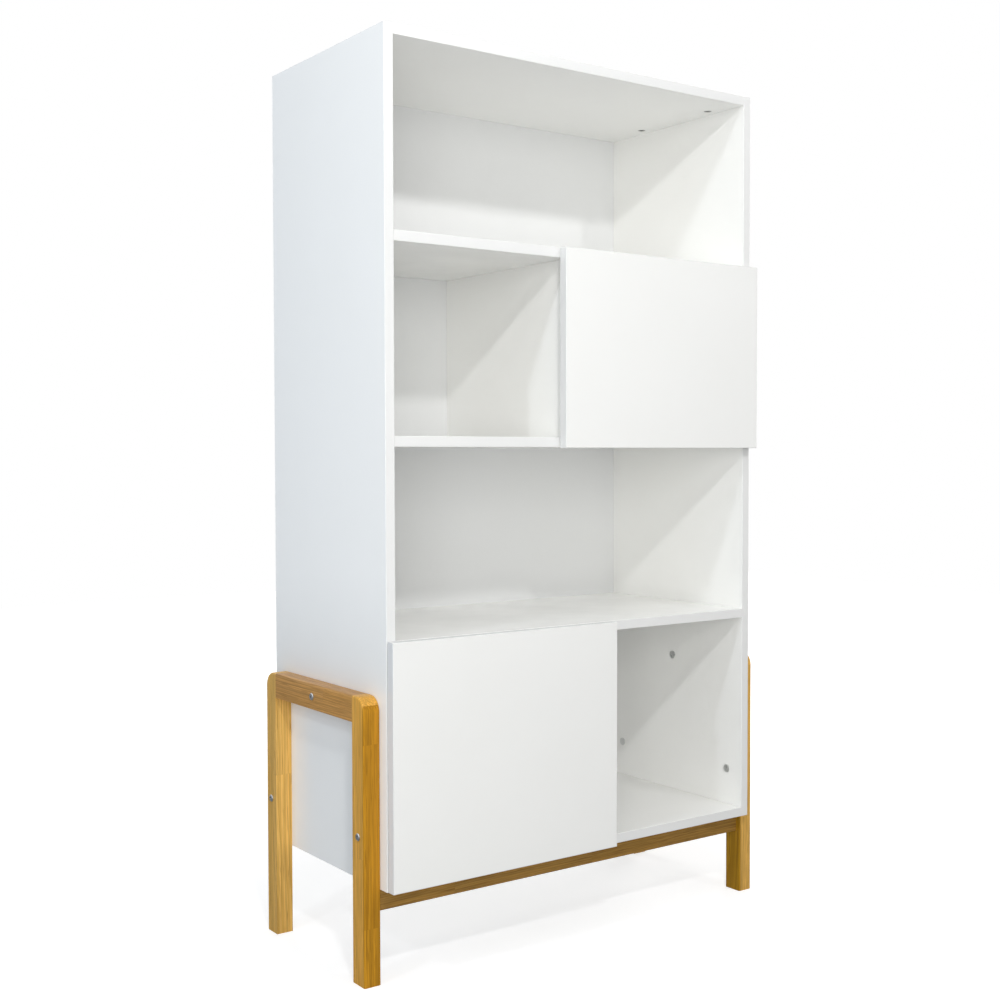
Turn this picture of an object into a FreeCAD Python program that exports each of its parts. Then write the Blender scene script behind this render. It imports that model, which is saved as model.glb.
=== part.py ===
import FreeCAD, Part
import operator
import os
import Sketcher
from FreeCAD import Placement, Rotation, Vector
from types import SimpleNamespace

# A bookcase of white laminated board carried by two oak frames.
# Origin: on the floor, in the middle of the whole object. X runs to the right, Y to the back, Z up.
# The case front is open, except for one overlay door in the second bay, hung on the right side,
# and one in the base bay, hung on the left side. Each door hangs on two concealed cup hinges.

SIZES = {
    # Case: boards and clear heights of the bays, from the floor of the case upwards
    "board": 18.0,
    "case_width": 846.0,
    "case_depth": 406.0,
    "base_bay": 384.0,
    "third_bay": 323.0,
    "second_bay": 322.0,
    "top_bay": 319.0,
    "edge_radius": 1.0,
    # Back panel in its groove
    "back_thickness": 3.0,
    "back_inset": 6.0,
    "groove_depth": 8.0,
    "groove_play": 0.2,
    # Doors, closed and seen from the front
    "door_width": 483.0,
    "door_thickness": 18.0,
    "door_gap": 3.0,
    "door_overhang": 20.0,
    "door_drop": 1.5,
    "door_reveal": 1.5,
    "bumper_radius": 4.0,
    "bumper_play": 0.3,
    "bumper_inset": 34.0,
    # Oak frames
    "foot_height": 162.0,
    "frame_rise": 326.0,
    "frame_setback": 22.0,
    "post_width": 32.0,
    "post_depth": 38.0,
    "rail_height": 45.0,
    "corner_radius": 26.0,
    "arris_radius": 3.0,
    "stretcher_thickness": 18.0,
    "stretcher_height": 40.0,
    # Bolts and sleeve nuts that hold the frames to the case
    "frame_bolt_rise": 90.0,
    "bolt_radius": 3.0,
    "bolt_length": 45.0,
    "bolt_head_radius": 6.5,
    "bolt_head_height": 2.2,
    "bolt_head_round": 1.2,
    "bolt_socket_radius": 2.3,
    "bolt_socket_depth": 1.6,
    "bolt_play": 0.3,
    "nut_radius": 4.5,
    "nut_length": 14.0,
    "nut_bore_depth": 12.5,
    "nut_bore_play": 0.1,
    "nut_flange_radius": 8.0,
    "nut_flange_height": 1.5,
    "nut_socket_radius": 2.9,
    "nut_socket_depth": 0.9,
    # Dowels
    "dowel_radius": 4.0,
    "dowel_length": 35.0,
    "dowel_seat": 12.0,
    "dowel_front": 44.0,
    "dowel_back": 57.0,
    "dowel_play": 0.05,
    "dowel_end_play": 0.4,
    "rail_dowel_radius": 5.0,
    "rail_dowel_length": 40.0,
    "rail_dowel_spacing": 22.0,
    "stretcher_dowel_spacing": 20.0,
    # Cam fittings of the top and the bottom
    "cam_radius": 7.5,
    "cam_height": 12.5,
    "cam_inset": 25.0,
    "cam_front": 76.0,
    "cam_back": 121.0,
    "cam_play": 0.1,
    "cam_slot_width": 1.6,
    "cam_slot_length": 8.0,
    "cam_slot_depth": 2.0,
    "cam_bolt_radius": 3.0,
    "cam_bolt_seat": 11.0,
    "cam_bolt_head_radius": 3.8,
    "cam_mouth_radius": 4.2,
    # Concealed hinges: distances from the door's outer edge, depths below the door's inner face
    "upper_hinge_inset": 80.0,
    "lower_hinge_inset": 130.0,
    "cup_centre": 21.5,
    "cup_radius": 17.4,
    "cup_depth": 12.8,
    "cup_wall": 0.8,
    "cup_play": 0.1,
    "cup_rim": 0.4,
    "cup_flange_thickness": 1.0,
    "cup_ear_centre": 31.0,
    "cup_ear_width": 14.0,
    "cup_ear_reach": 28.0,
    "cup_screw_reach": 22.5,
    "cup_cheek_inner": 6.2,
    "cup_cheek_thickness": 1.4,
    "cup_cheek_half_length": 4.0,
    "cup_pivots": 12.7,
    "cup_inner_pivot_depth": 8.95,
    "cup_outer_pivot_depth": 3.7,
    "nose_pivots": 35.5,
    "nose_inner_pivot_depth": 9.4,
    "nose_outer_pivot_proud": 2.2,
    "nose_half_width": 2.2,
    "nose_half_height": 2.2,
    "nose_root": 16.0,
    "link_half_width": 2.0,
    "link_thickness": 1.4,
    "link_play": 0.2,
    "link_web_length": 4.0,
    "link_web_thickness": 1.6,
    "inner_link_bow": 0.5,
    "outer_link_bow": 2.4,
    "rivet_head_radius": 1.8,
    "rivet_head_height": 0.4,
    "pin_radius": 1.2,
    "pin_play": 0.05,
    "arm_front": 6.0,
    "arm_length": 58.0,
    "arm_half_height": 8.5,
    "arm_wall": 1.4,
    "plate_thickness": 2.5,
    "plate_setback": 37.0,
    "plate_wing_width": 14.0,
    "plate_wing_reach": 23.0,
    "plate_saddle_length": 30.0,
    "plate_saddle_half_height": 6.8,
    "plate_screw_reach": 16.0,
    "plate_screw_radius": 2.5,
    "plate_screw_length": 13.0,
    "cup_screw_radius": 1.75,
    "cup_screw_length": 11.0,
    "screw_head_radius": 4.2,
    "screw_head_height": 1.8,
    "screw_slot_width": 1.0,
    "screw_slot_depth": 0.9,
    "screw_play": 0.1,
    "clamp_screw_radius": 2.0,
    "clamp_screw_length": 9.0,
    "clamp_screw_setback": 44.0,
    # Cuts run on past a face by this much
    "overrun": 1.0,
}


class Length:
    """A size with its value and its formula over the cells of the sheet."""

    def __init__(self, value, formula):
        self.value = value
        self.formula = formula

    def combined(self, sign, other, work):
        number, text = (other.value, other.formula) if isinstance(other, Length) else (other, repr(other))
        return Length(work(self.value, number), "(%s %s %s)" % (self.formula, sign, text))

    def __add__(self, other):
        return self.combined("+", other, operator.add)

    def __sub__(self, other):
        return self.combined("-", other, operator.sub)

    def __mul__(self, other):
        return self.combined("*", other, operator.mul)

    def __truediv__(self, other):
        return self.combined("/", other, operator.truediv)

    def __neg__(self):
        return ZERO - self


ZERO = Length(0.0, "0")

doc = FreeCAD.newDocument("bookcase")
sheet = doc.addObject("Spreadsheet::Sheet", "size")
for row, (word, number) in enumerate(SIZES.items(), start=1):
    sheet.set("A%d" % row, word)
    sheet.set("B%d" % row, "%s" % number)
    sheet.setAlias("B%d" % row, word)
doc.recompute()

S = SimpleNamespace(**{word: Length(number, "size." + word) for word, number in SIZES.items()})
NODES = []
TOUCH = 1e-4

# Derived places

LEFT = -S.case_width / 2
RIGHT = S.case_width / 2
DOOR_FRONT = -(S.case_depth + S.door_gap + S.door_thickness) / 2
FRONT = DOOR_FRONT + S.door_thickness + S.door_gap
INNER_WIDTH = S.case_width - S.board * 2
BOTTOM_Z = S.foot_height
LOWER_SHELF_Z = BOTTOM_Z + S.board + S.base_bay
MIDDLE_SHELF_Z = LOWER_SHELF_Z + S.board + S.third_bay
UPPER_SHELF_Z = MIDDLE_SHELF_Z + S.board + S.second_bay
TOP_Z = UPPER_SHELF_Z + S.board + S.top_bay
CASE_HEIGHT = TOP_Z + S.board - BOTTOM_Z
BACK_FRONT = S.case_depth - S.back_inset - S.back_thickness
SHELF_DEPTH = BACK_FRONT - S.groove_play
UPPER_PARTITION_X = RIGHT - S.door_width + S.door_overhang
LOWER_PARTITION_X = LEFT + S.door_width - S.door_overhang - S.board
POST_HEIGHT = S.foot_height + S.frame_rise
FRAME_FRONT = FRONT + S.frame_setback
FRAME_DEPTH = S.case_depth - S.frame_setback * 2
RAIL_LENGTH = FRAME_DEPTH - S.post_depth * 2
RAIL_Z = POST_HEIGHT - S.rail_height
STRETCHER_Y = FRAME_FRONT + (S.post_depth - S.stretcher_thickness) / 2
STRETCHER_Z = S.foot_height - S.stretcher_height
DOWEL_HOLE = S.dowel_radius + S.dowel_play
RAIL_DOWEL_HOLE = S.rail_dowel_radius + S.dowel_play
DOWEL_SPOTS = (S.dowel_front, BACK_FRONT - S.dowel_back)
CAM_SPOTS = (S.cam_front, BACK_FRONT - S.cam_back)
UPPER_DOOR_HEIGHT = S.second_bay + S.board * 2
LOWER_DOOR_HEIGHT = S.base_bay + S.board * 2 - S.door_reveal
UPPER_DOOR_Z = MIDDLE_SHELF_Z - S.door_drop
LOWER_DOOR_Z = BOTTOM_Z + S.door_reveal


# Tools for drawing and cutting

# Each axis has the body plane square to it and the sign of that plane's normal
PLANES = {"x": ("YZ_Plane", 1), "y": ("XZ_Plane", -1), "z": ("XY_Plane", 1)}


def bind(thing, path, length):
    thing.setExpression(path, length.formula)


def place(thing, x, y, z):
    bind(thing, "Placement.Base.x", x)
    bind(thing, "Placement.Base.y", y)
    bind(thing, "Placement.Base.z", z)


def new_body(name):
    return doc.addObject("PartDesign::Body", name)


def keep(thing, name):
    """Give a finished sub-part its own name and list it for export."""
    thing.Label = name
    NODES.append(thing)
    return thing


def new_sketch(body, name, axis, at):
    role, sign = PLANES[axis]
    sketch = body.newObject("Sketcher::SketchObject", name)
    plane = [feature for feature in body.Origin.OriginFeatures if feature.Role == role][0]
    sketch.AttachmentSupport = [(plane, "")]
    sketch.MapMode = "FlatFace"
    bind(sketch, "AttachmentOffset.Base.z", at * sign)
    return sketch


def dimension(sketch, kind, length, *where):
    index = sketch.addConstraint(Sketcher.Constraint(kind, *where, length.value))
    bind(sketch, "Constraints[%d]" % index, length)


def locate(sketch, shape, point, u, v):
    dimension(sketch, "DistanceX", u, -1, 1, shape, point)
    dimension(sketch, "DistanceY", v, -1, 1, shape, point)


def polygon(sketch, points):
    """Close straight edges through the points, each held from the sketch's origin."""
    first = None
    count = len(points)
    for index, (u, v) in enumerate(points):
        next_u, next_v = points[(index + 1) % count]
        start = Vector(u.value, v.value, 0)
        end = Vector(next_u.value, next_v.value, 0)
        line = sketch.addGeometry(Part.LineSegment(start, end), False)
        if first is None:
            first = line
        else:
            sketch.addConstraint(Sketcher.Constraint("Coincident", line - 1, 2, line, 1))
        locate(sketch, line, 1, u, v)
    sketch.addConstraint(Sketcher.Constraint("Coincident", first + count - 1, 2, first, 1))


def rectangle(sketch, u, v, width, height):
    polygon(sketch, [(u, v), (u + width, v), (u + width, v + height), (u, v + height)])


def circle(sketch, u, v, radius):
    centre = Vector(u.value, v.value, 0)
    ring = sketch.addGeometry(Part.Circle(centre, Vector(0, 0, 1), radius.value), False)
    dimension(sketch, "Radius", radius, ring)
    locate(sketch, ring, 3, u, v)


def hexagon(sketch, radius):
    """A hexagon round the sketch's origin, with a corner on each side along the first axis."""
    side = radius * (3 ** 0.5 / 2)
    half = radius / 2
    upper = [(radius, ZERO), (half, side), (-half, side)]
    lower = [(-radius, ZERO), (-half, -side), (half, -side)]
    polygon(sketch, upper + lower)


def slot(sketch, start, end, radius):
    """A bar with round ends about two points."""
    a = Vector(start[0].value, start[1].value, 0)
    b = Vector(end[0].value, end[1].value, 0)
    along = (b - a).normalize()
    side = Vector(-along.y, along.x, 0) * radius.value
    out = along * radius.value
    arc_a = sketch.addGeometry(Part.Arc(a + side, a - out, a - side), False)
    arc_b = sketch.addGeometry(Part.Arc(b - side, b + out, b + side), False)
    low = sketch.addGeometry(Part.LineSegment(a - side, b - side), False)
    high = sketch.addGeometry(Part.LineSegment(b + side, a + side), False)
    joints = ((arc_a, 2, low, 1), (low, 2, arc_b, 1), (arc_b, 2, high, 1), (high, 2, arc_a, 1))
    for joint in joints:
        sketch.addConstraint(Sketcher.Constraint("Tangent", *joint))
    dimension(sketch, "Radius", radius, arc_a)
    locate(sketch, arc_a, 3, *start)
    locate(sketch, arc_b, 3, *end)


def bent_bar(sketch, start, end, bow, radius):
    """A bar with round ends about two points, bowed to the right on the way from start to end."""
    chord_u = end[0] - start[0]
    chord_v = end[1] - start[1]
    bend = ((chord_u * chord_u + chord_v * chord_v) / 4 + bow * bow) / (bow * 2)
    a = Vector(start[0].value, start[1].value, 0)
    b = Vector(end[0].value, end[1].value, 0)
    along = (b - a).normalize()
    right = Vector(along.y, -along.x, 0)
    crown = (a + b) * 0.5 + right * bow.value
    centre = crown - right * bend.value
    out_a = (a - centre).normalize() * radius.value
    out_b = (b - centre).normalize() * radius.value
    out = right * radius.value
    tip = along * radius.value
    end_a = sketch.addGeometry(Part.Arc(a - out_a, a - tip, a + out_a), False)
    end_b = sketch.addGeometry(Part.Arc(b + out_b, b + tip, b - out_b), False)
    outer = sketch.addGeometry(Part.Arc(a + out_a, crown + out, b + out_b), False)
    inner = sketch.addGeometry(Part.Arc(a - out_a, crown - out, b - out_b), False)
    for joint in ((end_a, 2, outer, 1), (outer, 2, end_b, 1), (end_b, 2, inner, 2), (inner, 1, end_a, 1)):
        sketch.addConstraint(Sketcher.Constraint("Tangent", *joint))
    locate(sketch, end_a, 3, *start)
    locate(sketch, end_b, 3, *end)
    for arc, length in ((end_a, radius), (end_b, radius), (outer, bend + radius), (inner, bend - radius)):
        dimension(sketch, "Radius", length, arc)


def pad(body, sketch, name, axis, length, towards=1):
    """Add material from the sketch along the axis, towards its positive or negative end."""
    feature = body.newObject("PartDesign::Pad", name)
    feature.Profile = sketch
    bind(feature, "Length", length)
    feature.Reversed = towards != PLANES[axis][1]
    doc.recompute()
    return feature


def pocket(body, sketch, name, axis, length, towards):
    """Cut the sketch into the body along the axis, and make sure that it cut something."""
    before = body.Shape.Volume
    feature = body.newObject("PartDesign::Pocket", name)
    feature.Profile = sketch
    bind(feature, "Length", length)
    feature.Reversed = towards == PLANES[axis][1]
    doc.recompute()
    if not body.Shape.Volume < before:
        raise RuntimeError("%s cut nothing" % name)
    return feature


def block(body, name, axis, at, corner, extent, length, towards=1):
    sketch = new_sketch(body, name + "_outline", axis, at)
    rectangle(sketch, corner[0], corner[1], extent[0], extent[1])
    return pad(body, sketch, name, axis, length, towards)


def trench(body, name, axis, at, corner, extent, length, towards):
    sketch = new_sketch(body, name + "_outline", axis, at)
    rectangle(sketch, corner[0], corner[1], extent[0], extent[1])
    return pocket(body, sketch, name, axis, length, towards)


def disc(body, name, axis, at, u, v, radius, length, towards=1):
    sketch = new_sketch(body, name + "_outline", axis, at)
    circle(sketch, u, v, radius)
    return pad(body, sketch, name, axis, length, towards)


def drill(body, name, axis, at, centres, radius, length, towards):
    sketch = new_sketch(body, name + "_outline", axis, at)
    for u, v in centres:
        circle(sketch, u, v, radius)
    return pocket(body, sketch, name, axis, length, towards)


def turn(body, name, points):
    """Revolve a half outline of radius and height about the body's Z axis."""
    sketch = new_sketch(body, name + "_outline", "y", ZERO)
    polygon(sketch, points)
    feature = body.newObject("PartDesign::Revolution", name)
    feature.Profile = sketch
    feature.ReferenceAxis = (sketch, ["V_Axis"])
    feature.Angle = 360.0
    doc.recompute()
    return feature


def round_edges(body, name, radius, wanted):
    """Round the edges of the body's tip whose bounding box passes the wanted test."""
    base = body.Tip
    names = []
    for index, edge in enumerate(base.Shape.Edges, start=1):
        if wanted(edge.BoundBox):
            names.append("Edge%d" % index)
    if not names:
        raise RuntimeError("%s found no edge" % name)
    feature = body.newObject("PartDesign::Fillet", name)
    feature.Base = (base, names)
    bind(feature, "Radius", radius)
    doc.recompute()
    return feature


def near(number, length):
    return abs(number - length.value) < TOUCH


def copies(name, template, spots):
    """One node of like pieces: a link to the template for each place and turn."""
    links = []
    for index, (x, y, z, rotation) in enumerate(spots, start=1):
        link = doc.addObject("App::Link", "%s_%d" % (name, index))
        link.LinkedObject = template
        link.Placement = Placement(Vector(), rotation)
        place(link, x, y, z)
        links.append(link)
    group = doc.addObject("Part::Compound", name)
    group.Links = links
    doc.recompute()
    return keep(group, name)


def mirrored(template, name):
    """The right-hand twin of a left-hand hinge piece."""
    twin = doc.addObject("Part::Mirroring", name)
    twin.Source = template
    twin.Normal = Vector(1, 0, 0)
    return twin


# How a template's own Z axis lies once it is in place

UPRIGHT = Rotation()
UPSIDE_DOWN = Rotation(Vector(1, 0, 0), 180)
ALONG_X = Rotation(Vector(0, 1, 0), 90)
AGAINST_X = Rotation(Vector(0, 1, 0), -90)
ALONG_Y = Rotation(Vector(1, 0, 0), -90)
AGAINST_Y = Rotation(Vector(1, 0, 0), 90)
HALF_TURN = Rotation(Vector(0, 0, 1), 180)


# Case

UPPER_HINGES = (UPPER_DOOR_Z + S.upper_hinge_inset, UPPER_DOOR_Z + UPPER_DOOR_HEIGHT - S.upper_hinge_inset)
LOWER_HINGES = (LOWER_DOOR_Z + S.lower_hinge_inset, LOWER_DOOR_Z + LOWER_DOOR_HEIGHT - S.lower_hinge_inset)
BOARD_LEVELS = (BOTTOM_Z, LOWER_SHELF_Z, MIDDLE_SHELF_Z, UPPER_SHELF_Z, TOP_Z)
FRAME_BOLT_SPOTS = (
    (S.frame_setback + S.post_depth / 2, BOTTOM_Z + S.frame_bolt_rise),
    (S.case_depth - S.frame_setback - S.post_depth / 2, BOTTOM_Z + S.frame_bolt_rise),
    (S.case_depth / 2, RAIL_Z + S.rail_height / 2),
)


def back_groove(body, name, axis, at, low, length, towards):
    """The groove that the back panel slides into, drawn across the named face."""
    width = S.back_thickness + S.groove_play * 2
    start = BACK_FRONT - S.groove_play
    corner = (start, low) if axis == "x" else (low, start)
    extent = (width, length) if axis == "x" else (length, width)
    trench(body, name, axis, at, corner, extent, S.groove_depth, towards)


def side_panel(name, x, inner, towards, hinges):
    """A full-height side. Its holes start at the inner face and run towards the outer one."""

    def bore(word, spots, radius, depth):
        drill(body, "%s_%s_holes" % (name, word), "x", inner, spots, radius, depth, towards)

    body = new_body(name)
    block(body, name + "_board", "z", ZERO, (ZERO, ZERO), (S.board, S.case_depth), CASE_HEIGHT)
    round_edges(
        body, name + "_banding", S.edge_radius,
        lambda box: near(box.YMax, ZERO) or near(box.ZMin, CASE_HEIGHT),
    )
    low = S.board - S.groove_depth
    back_groove(body, name + "_groove", "x", inner, low, CASE_HEIGHT - low * 2, towards)
    dowels = [(y, z - BOTTOM_Z + S.board / 2) for z in BOARD_LEVELS for y in DOWEL_SPOTS]
    bore("dowel", dowels, DOWEL_HOLE, S.dowel_seat + S.dowel_end_play)
    cams = [(y, z - BOTTOM_Z + S.board / 2) for z in (BOTTOM_Z, TOP_Z) for y in CAM_SPOTS]
    bore("cam_bolt", cams, S.cam_bolt_radius + S.dowel_play, S.cam_bolt_seat + S.dowel_end_play)
    bolts = [(y, z - BOTTOM_Z) for y, z in FRAME_BOLT_SPOTS]
    bore("nut", bolts, S.nut_radius + S.bolt_play, S.board)
    screws = [(S.plate_setback, z - BOTTOM_Z + reach) for z in hinges for reach in PLATE_SCREW_REACHES]
    screw_depth = S.plate_screw_length - S.plate_thickness + S.dowel_end_play
    bore("hinge_screw", screws, S.plate_screw_radius + S.dowel_play, screw_depth)
    place(body, x, FRONT, BOTTOM_Z)
    return keep(body, name)


def shelf_board(name, z, depth, partition_faces=()):
    """A board between the sides, doweled at both ends and, on the given faces, to partitions."""
    body = new_body(name)
    block(body, name + "_board", "z", ZERO, (ZERO, ZERO), (INNER_WIDTH, depth), S.board)
    round_edges(
        body, name + "_banding", S.edge_radius,
        lambda box: near(box.YMax, ZERO) and box.ZLength < TOUCH,
    )
    ends = [(y, S.board / 2) for y in DOWEL_SPOTS]
    depth_in_end = S.dowel_length - S.dowel_seat + S.dowel_end_play
    drill(body, name + "_left_dowel_holes", "x", ZERO, ends, DOWEL_HOLE, depth_in_end, 1)
    drill(body, name + "_right_dowel_holes", "x", INNER_WIDTH, ends, DOWEL_HOLE, depth_in_end, -1)
    for x, at, towards in partition_faces:
        middle = x + S.board / 2 - LEFT - S.board
        centres = [(middle, y) for y in DOWEL_SPOTS]
        face = "upper" if towards < 0 else "under"
        drill(
            body, "%s_%s_dowel_holes" % (name, face), "z", at, centres,
            DOWEL_HOLE, S.dowel_seat + S.dowel_end_play, towards,
        )
    place(body, LEFT + S.board, FRONT, z)
    return keep(body, name)


def cam_bores(body, name):
    """Pockets for the cam housings in the underside, and the mouths for their bolts in the ends."""
    columns = (S.cam_inset, INNER_WIDTH - S.cam_inset)
    pockets = [(x, y) for x in columns for y in CAM_SPOTS]
    pocket_depth = S.cam_height + S.cam_play
    drill(body, name + "_cam_pockets", "z", ZERO, pockets, S.cam_radius + S.cam_play, pocket_depth, 1)
    mouths = [(y, S.board / 2) for y in CAM_SPOTS]
    drill(body, name + "_left_cam_mouths", "x", ZERO, mouths, S.cam_mouth_radius, S.cam_inset, 1)
    drill(body, name + "_right_cam_mouths", "x", INNER_WIDTH, mouths, S.cam_mouth_radius, S.cam_inset, -1)


def partition(name, x, z, height):
    body = new_body(name)
    block(body, name + "_board", "z", ZERO, (ZERO, ZERO), (S.board, SHELF_DEPTH), height)
    round_edges(
        body, name + "_banding", S.edge_radius,
        lambda box: near(box.YMax, ZERO) and box.XLength < TOUCH,
    )
    ends = [(S.board / 2, y) for y in DOWEL_SPOTS]
    depth_in_end = S.dowel_length - S.dowel_seat + S.dowel_end_play
    drill(body, name + "_lower_dowel_holes", "z", ZERO, ends, DOWEL_HOLE, depth_in_end, 1)
    drill(body, name + "_upper_dowel_holes", "z", height, ends, DOWEL_HOLE, depth_in_end, -1)
    place(body, x, FRONT, z)
    return keep(body, name)


PLATE_SCREW_REACHES = (-S.plate_screw_reach, S.plate_screw_reach)
side_panel("left_side_panel", LEFT, S.board, -1, LOWER_HINGES)
side_panel("right_side_panel", RIGHT - S.board, ZERO, 1, UPPER_HINGES)

bottom = shelf_board("bottom_panel", BOTTOM_Z, S.case_depth, [(LOWER_PARTITION_X, S.board, -1)])
back_groove(bottom, "bottom_panel_groove", "z", S.board, ZERO, INNER_WIDTH, -1)
cam_bores(bottom, "bottom_panel")
top = shelf_board("top_panel", TOP_Z, S.case_depth)
back_groove(top, "top_panel_groove", "z", ZERO, ZERO, INNER_WIDTH, 1)
cam_bores(top, "top_panel")
shelf_board("lower_shelf", LOWER_SHELF_Z, SHELF_DEPTH, [(LOWER_PARTITION_X, ZERO, 1)])
shelf_board("middle_shelf", MIDDLE_SHELF_Z, SHELF_DEPTH, [(UPPER_PARTITION_X, S.board, -1)])
shelf_board("upper_shelf", UPPER_SHELF_Z, SHELF_DEPTH, [(UPPER_PARTITION_X, ZERO, 1)])
partition("upper_partition", UPPER_PARTITION_X, MIDDLE_SHELF_Z + S.board, S.second_bay)
partition("lower_partition", LOWER_PARTITION_X, BOTTOM_Z + S.board, S.base_bay)

tongue = S.groove_depth - S.groove_play
back = new_body("back_panel")
back_size = (INNER_WIDTH + tongue * 2, S.back_thickness)
block(back, "back_panel_sheet", "z", ZERO, (ZERO, ZERO), back_size, CASE_HEIGHT - S.board * 2 + tongue * 2)
place(back, LEFT + S.board - tongue, FRONT + BACK_FRONT, BOTTOM_Z + S.board - tongue)
keep(back, "back_panel")


# Oak frames

def post(name, x, y, outer, inner, case_side, towards_case, stretcher):
    """One leg of an inverted U. The corner over its outer face is rounded in one sweep."""
    body = new_body(name)
    block(body, name + "_stick", "z", ZERO, (ZERO, ZERO), (S.post_width, S.post_depth), POST_HEIGHT)
    round_edges(
        body, name + "_corner", S.corner_radius,
        lambda box: near(box.ZMin, POST_HEIGHT) and near(box.YMin, outer) and near(box.YMax, outer),
    )
    round_edges(
        body, name + "_arrises", S.arris_radius,
        lambda box: box.XLength < TOUCH and box.ZMax > TOUCH and not near((box.YMin + box.YMax) / 2, inner),
    )
    inwards = 1 if outer is ZERO else -1
    dowels = [(S.post_width / 2, RAIL_Z + rise) for rise in RAIL_DOWEL_RISES]
    drill(
        body, name + "_rail_dowel_holes", "y", inner, dowels,
        RAIL_DOWEL_HOLE, S.rail_dowel_length / 2 + S.dowel_end_play, -inwards,
    )
    bolt = [(S.post_depth / 2, BOTTOM_Z + S.frame_bolt_rise)]
    drill(body, name + "_bolt_hole", "x", ZERO, bolt, S.bolt_radius + S.bolt_play, S.post_width, 1)
    if stretcher:
        drill(
            body, name + "_stretcher_dowel_holes", "x", case_side,
            [(S.post_depth / 2, rise) for rise in STRETCHER_DOWEL_RISES],
            DOWEL_HOLE, S.dowel_length / 2 + S.dowel_end_play, -towards_case,
        )
    place(body, x, y, ZERO)
    return keep(body, name)


def top_rail(name, x):
    body = new_body(name)
    block(body, name + "_stick", "z", ZERO, (ZERO, ZERO), (S.post_width, RAIL_LENGTH), S.rail_height)
    round_edges(
        body, name + "_arrises", S.arris_radius,
        lambda box: near(box.ZMin, S.rail_height) and box.XLength < TOUCH,
    )
    ends = [(S.post_width / 2, rise) for rise in RAIL_DOWEL_RISES]
    depth = S.rail_dowel_length / 2 + S.dowel_end_play
    drill(body, name + "_front_dowel_holes", "y", ZERO, ends, RAIL_DOWEL_HOLE, depth, 1)
    drill(body, name + "_rear_dowel_holes", "y", RAIL_LENGTH, ends, RAIL_DOWEL_HOLE, depth, -1)
    bolt = [(RAIL_LENGTH / 2, S.rail_height / 2)]
    drill(body, name + "_bolt_hole", "x", ZERO, bolt, S.bolt_radius + S.bolt_play, S.post_width, 1)
    place(body, x, FRAME_FRONT + S.post_depth, RAIL_Z)
    return keep(body, name)


RAIL_DOWEL_RISES = (
    (S.rail_height - S.rail_dowel_spacing) / 2,
    (S.rail_height + S.rail_dowel_spacing) / 2,
)
STRETCHER_DOWEL_RISES = (
    STRETCHER_Z + (S.stretcher_height - S.stretcher_dowel_spacing) / 2,
    STRETCHER_Z + (S.stretcher_height + S.stretcher_dowel_spacing) / 2,
)
REAR_POST_Y = FRAME_FRONT + FRAME_DEPTH - S.post_depth
FRAMES = (("left", LEFT - S.post_width, S.post_width, 1), ("right", RIGHT, ZERO, -1))
for hand, frame_x, case_face, inward in FRAMES:
    post(hand + "_front_post", frame_x, FRAME_FRONT, ZERO, S.post_depth, case_face, inward, True)
    post(hand + "_rear_post", frame_x, REAR_POST_Y, S.post_depth, ZERO, case_face, inward, False)
    top_rail(hand + "_top_rail", frame_x)

stretcher = new_body("front_stretcher")
stretcher_size = (S.case_width, S.stretcher_thickness)
block(stretcher, "front_stretcher_stick", "z", ZERO, (ZERO, ZERO), stretcher_size, S.stretcher_height)
round_edges(
    stretcher, "front_stretcher_arrises", S.arris_radius,
    lambda box: near(box.ZMax, ZERO) and box.YLength < TOUCH,
)
for end, at, direction in (("left", ZERO, 1), ("right", S.case_width, -1)):
    drill(
        stretcher, "front_stretcher_%s_dowel_holes" % end, "x", at,
        [(S.stretcher_thickness / 2, rise - STRETCHER_Z) for rise in STRETCHER_DOWEL_RISES],
        DOWEL_HOLE, S.dowel_length / 2 + S.dowel_end_play, direction,
    )
place(stretcher, LEFT, STRETCHER_Y, STRETCHER_Z)
keep(stretcher, "front_stretcher")


# Fasteners of the case and the frames

def dowel(name, radius, length):
    """A plain dowel pin, standing on its own origin."""
    body = new_body(name)
    disc(body, name + "_pin", "z", ZERO, ZERO, ZERO, radius, length)
    return body


def headed(name, head_radius, head_height, shank_radius, length, crown=None):
    """A head below its own origin, bevelled where it has a crown, and a shank above it."""
    outline = [(ZERO, -head_height), (head_radius, -head_height)]
    if crown:
        outline[1:] = [(head_radius - crown, -head_height), (head_radius, crown - head_height)]
    shank = [(head_radius, ZERO), (shank_radius, ZERO), (shank_radius, length), (ZERO, length)]
    body = new_body(name)
    turn(body, name + "_turned", outline + shank)
    return body


small_dowel = dowel("small_dowel", S.dowel_radius, S.dowel_length)
large_dowel = dowel("large_dowel", S.rail_dowel_radius, S.rail_dowel_length)

shelf_dowel_spots = []
for level in BOARD_LEVELS:
    for y in DOWEL_SPOTS:
        height = level + S.board / 2
        shelf_dowel_spots.append((LEFT + S.board - S.dowel_seat, FRONT + y, height, ALONG_X))
        shelf_dowel_spots.append((RIGHT - S.board + S.dowel_seat, FRONT + y, height, AGAINST_X))
copies("shelf_dowels", small_dowel, shelf_dowel_spots)

partition_dowel_spots = []
PARTITIONS = (
    (UPPER_PARTITION_X, MIDDLE_SHELF_Z + S.board, S.second_bay),
    (LOWER_PARTITION_X, BOTTOM_Z + S.board, S.base_bay),
)
for x, z, height in PARTITIONS:
    for y in DOWEL_SPOTS:
        middle = x + S.board / 2
        partition_dowel_spots.append((middle, FRONT + y, z - S.dowel_seat, UPRIGHT))
        upper_end = z + height + S.dowel_seat - S.dowel_length
        partition_dowel_spots.append((middle, FRONT + y, upper_end, UPRIGHT))
copies("partition_dowels", small_dowel, partition_dowel_spots)

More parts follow.
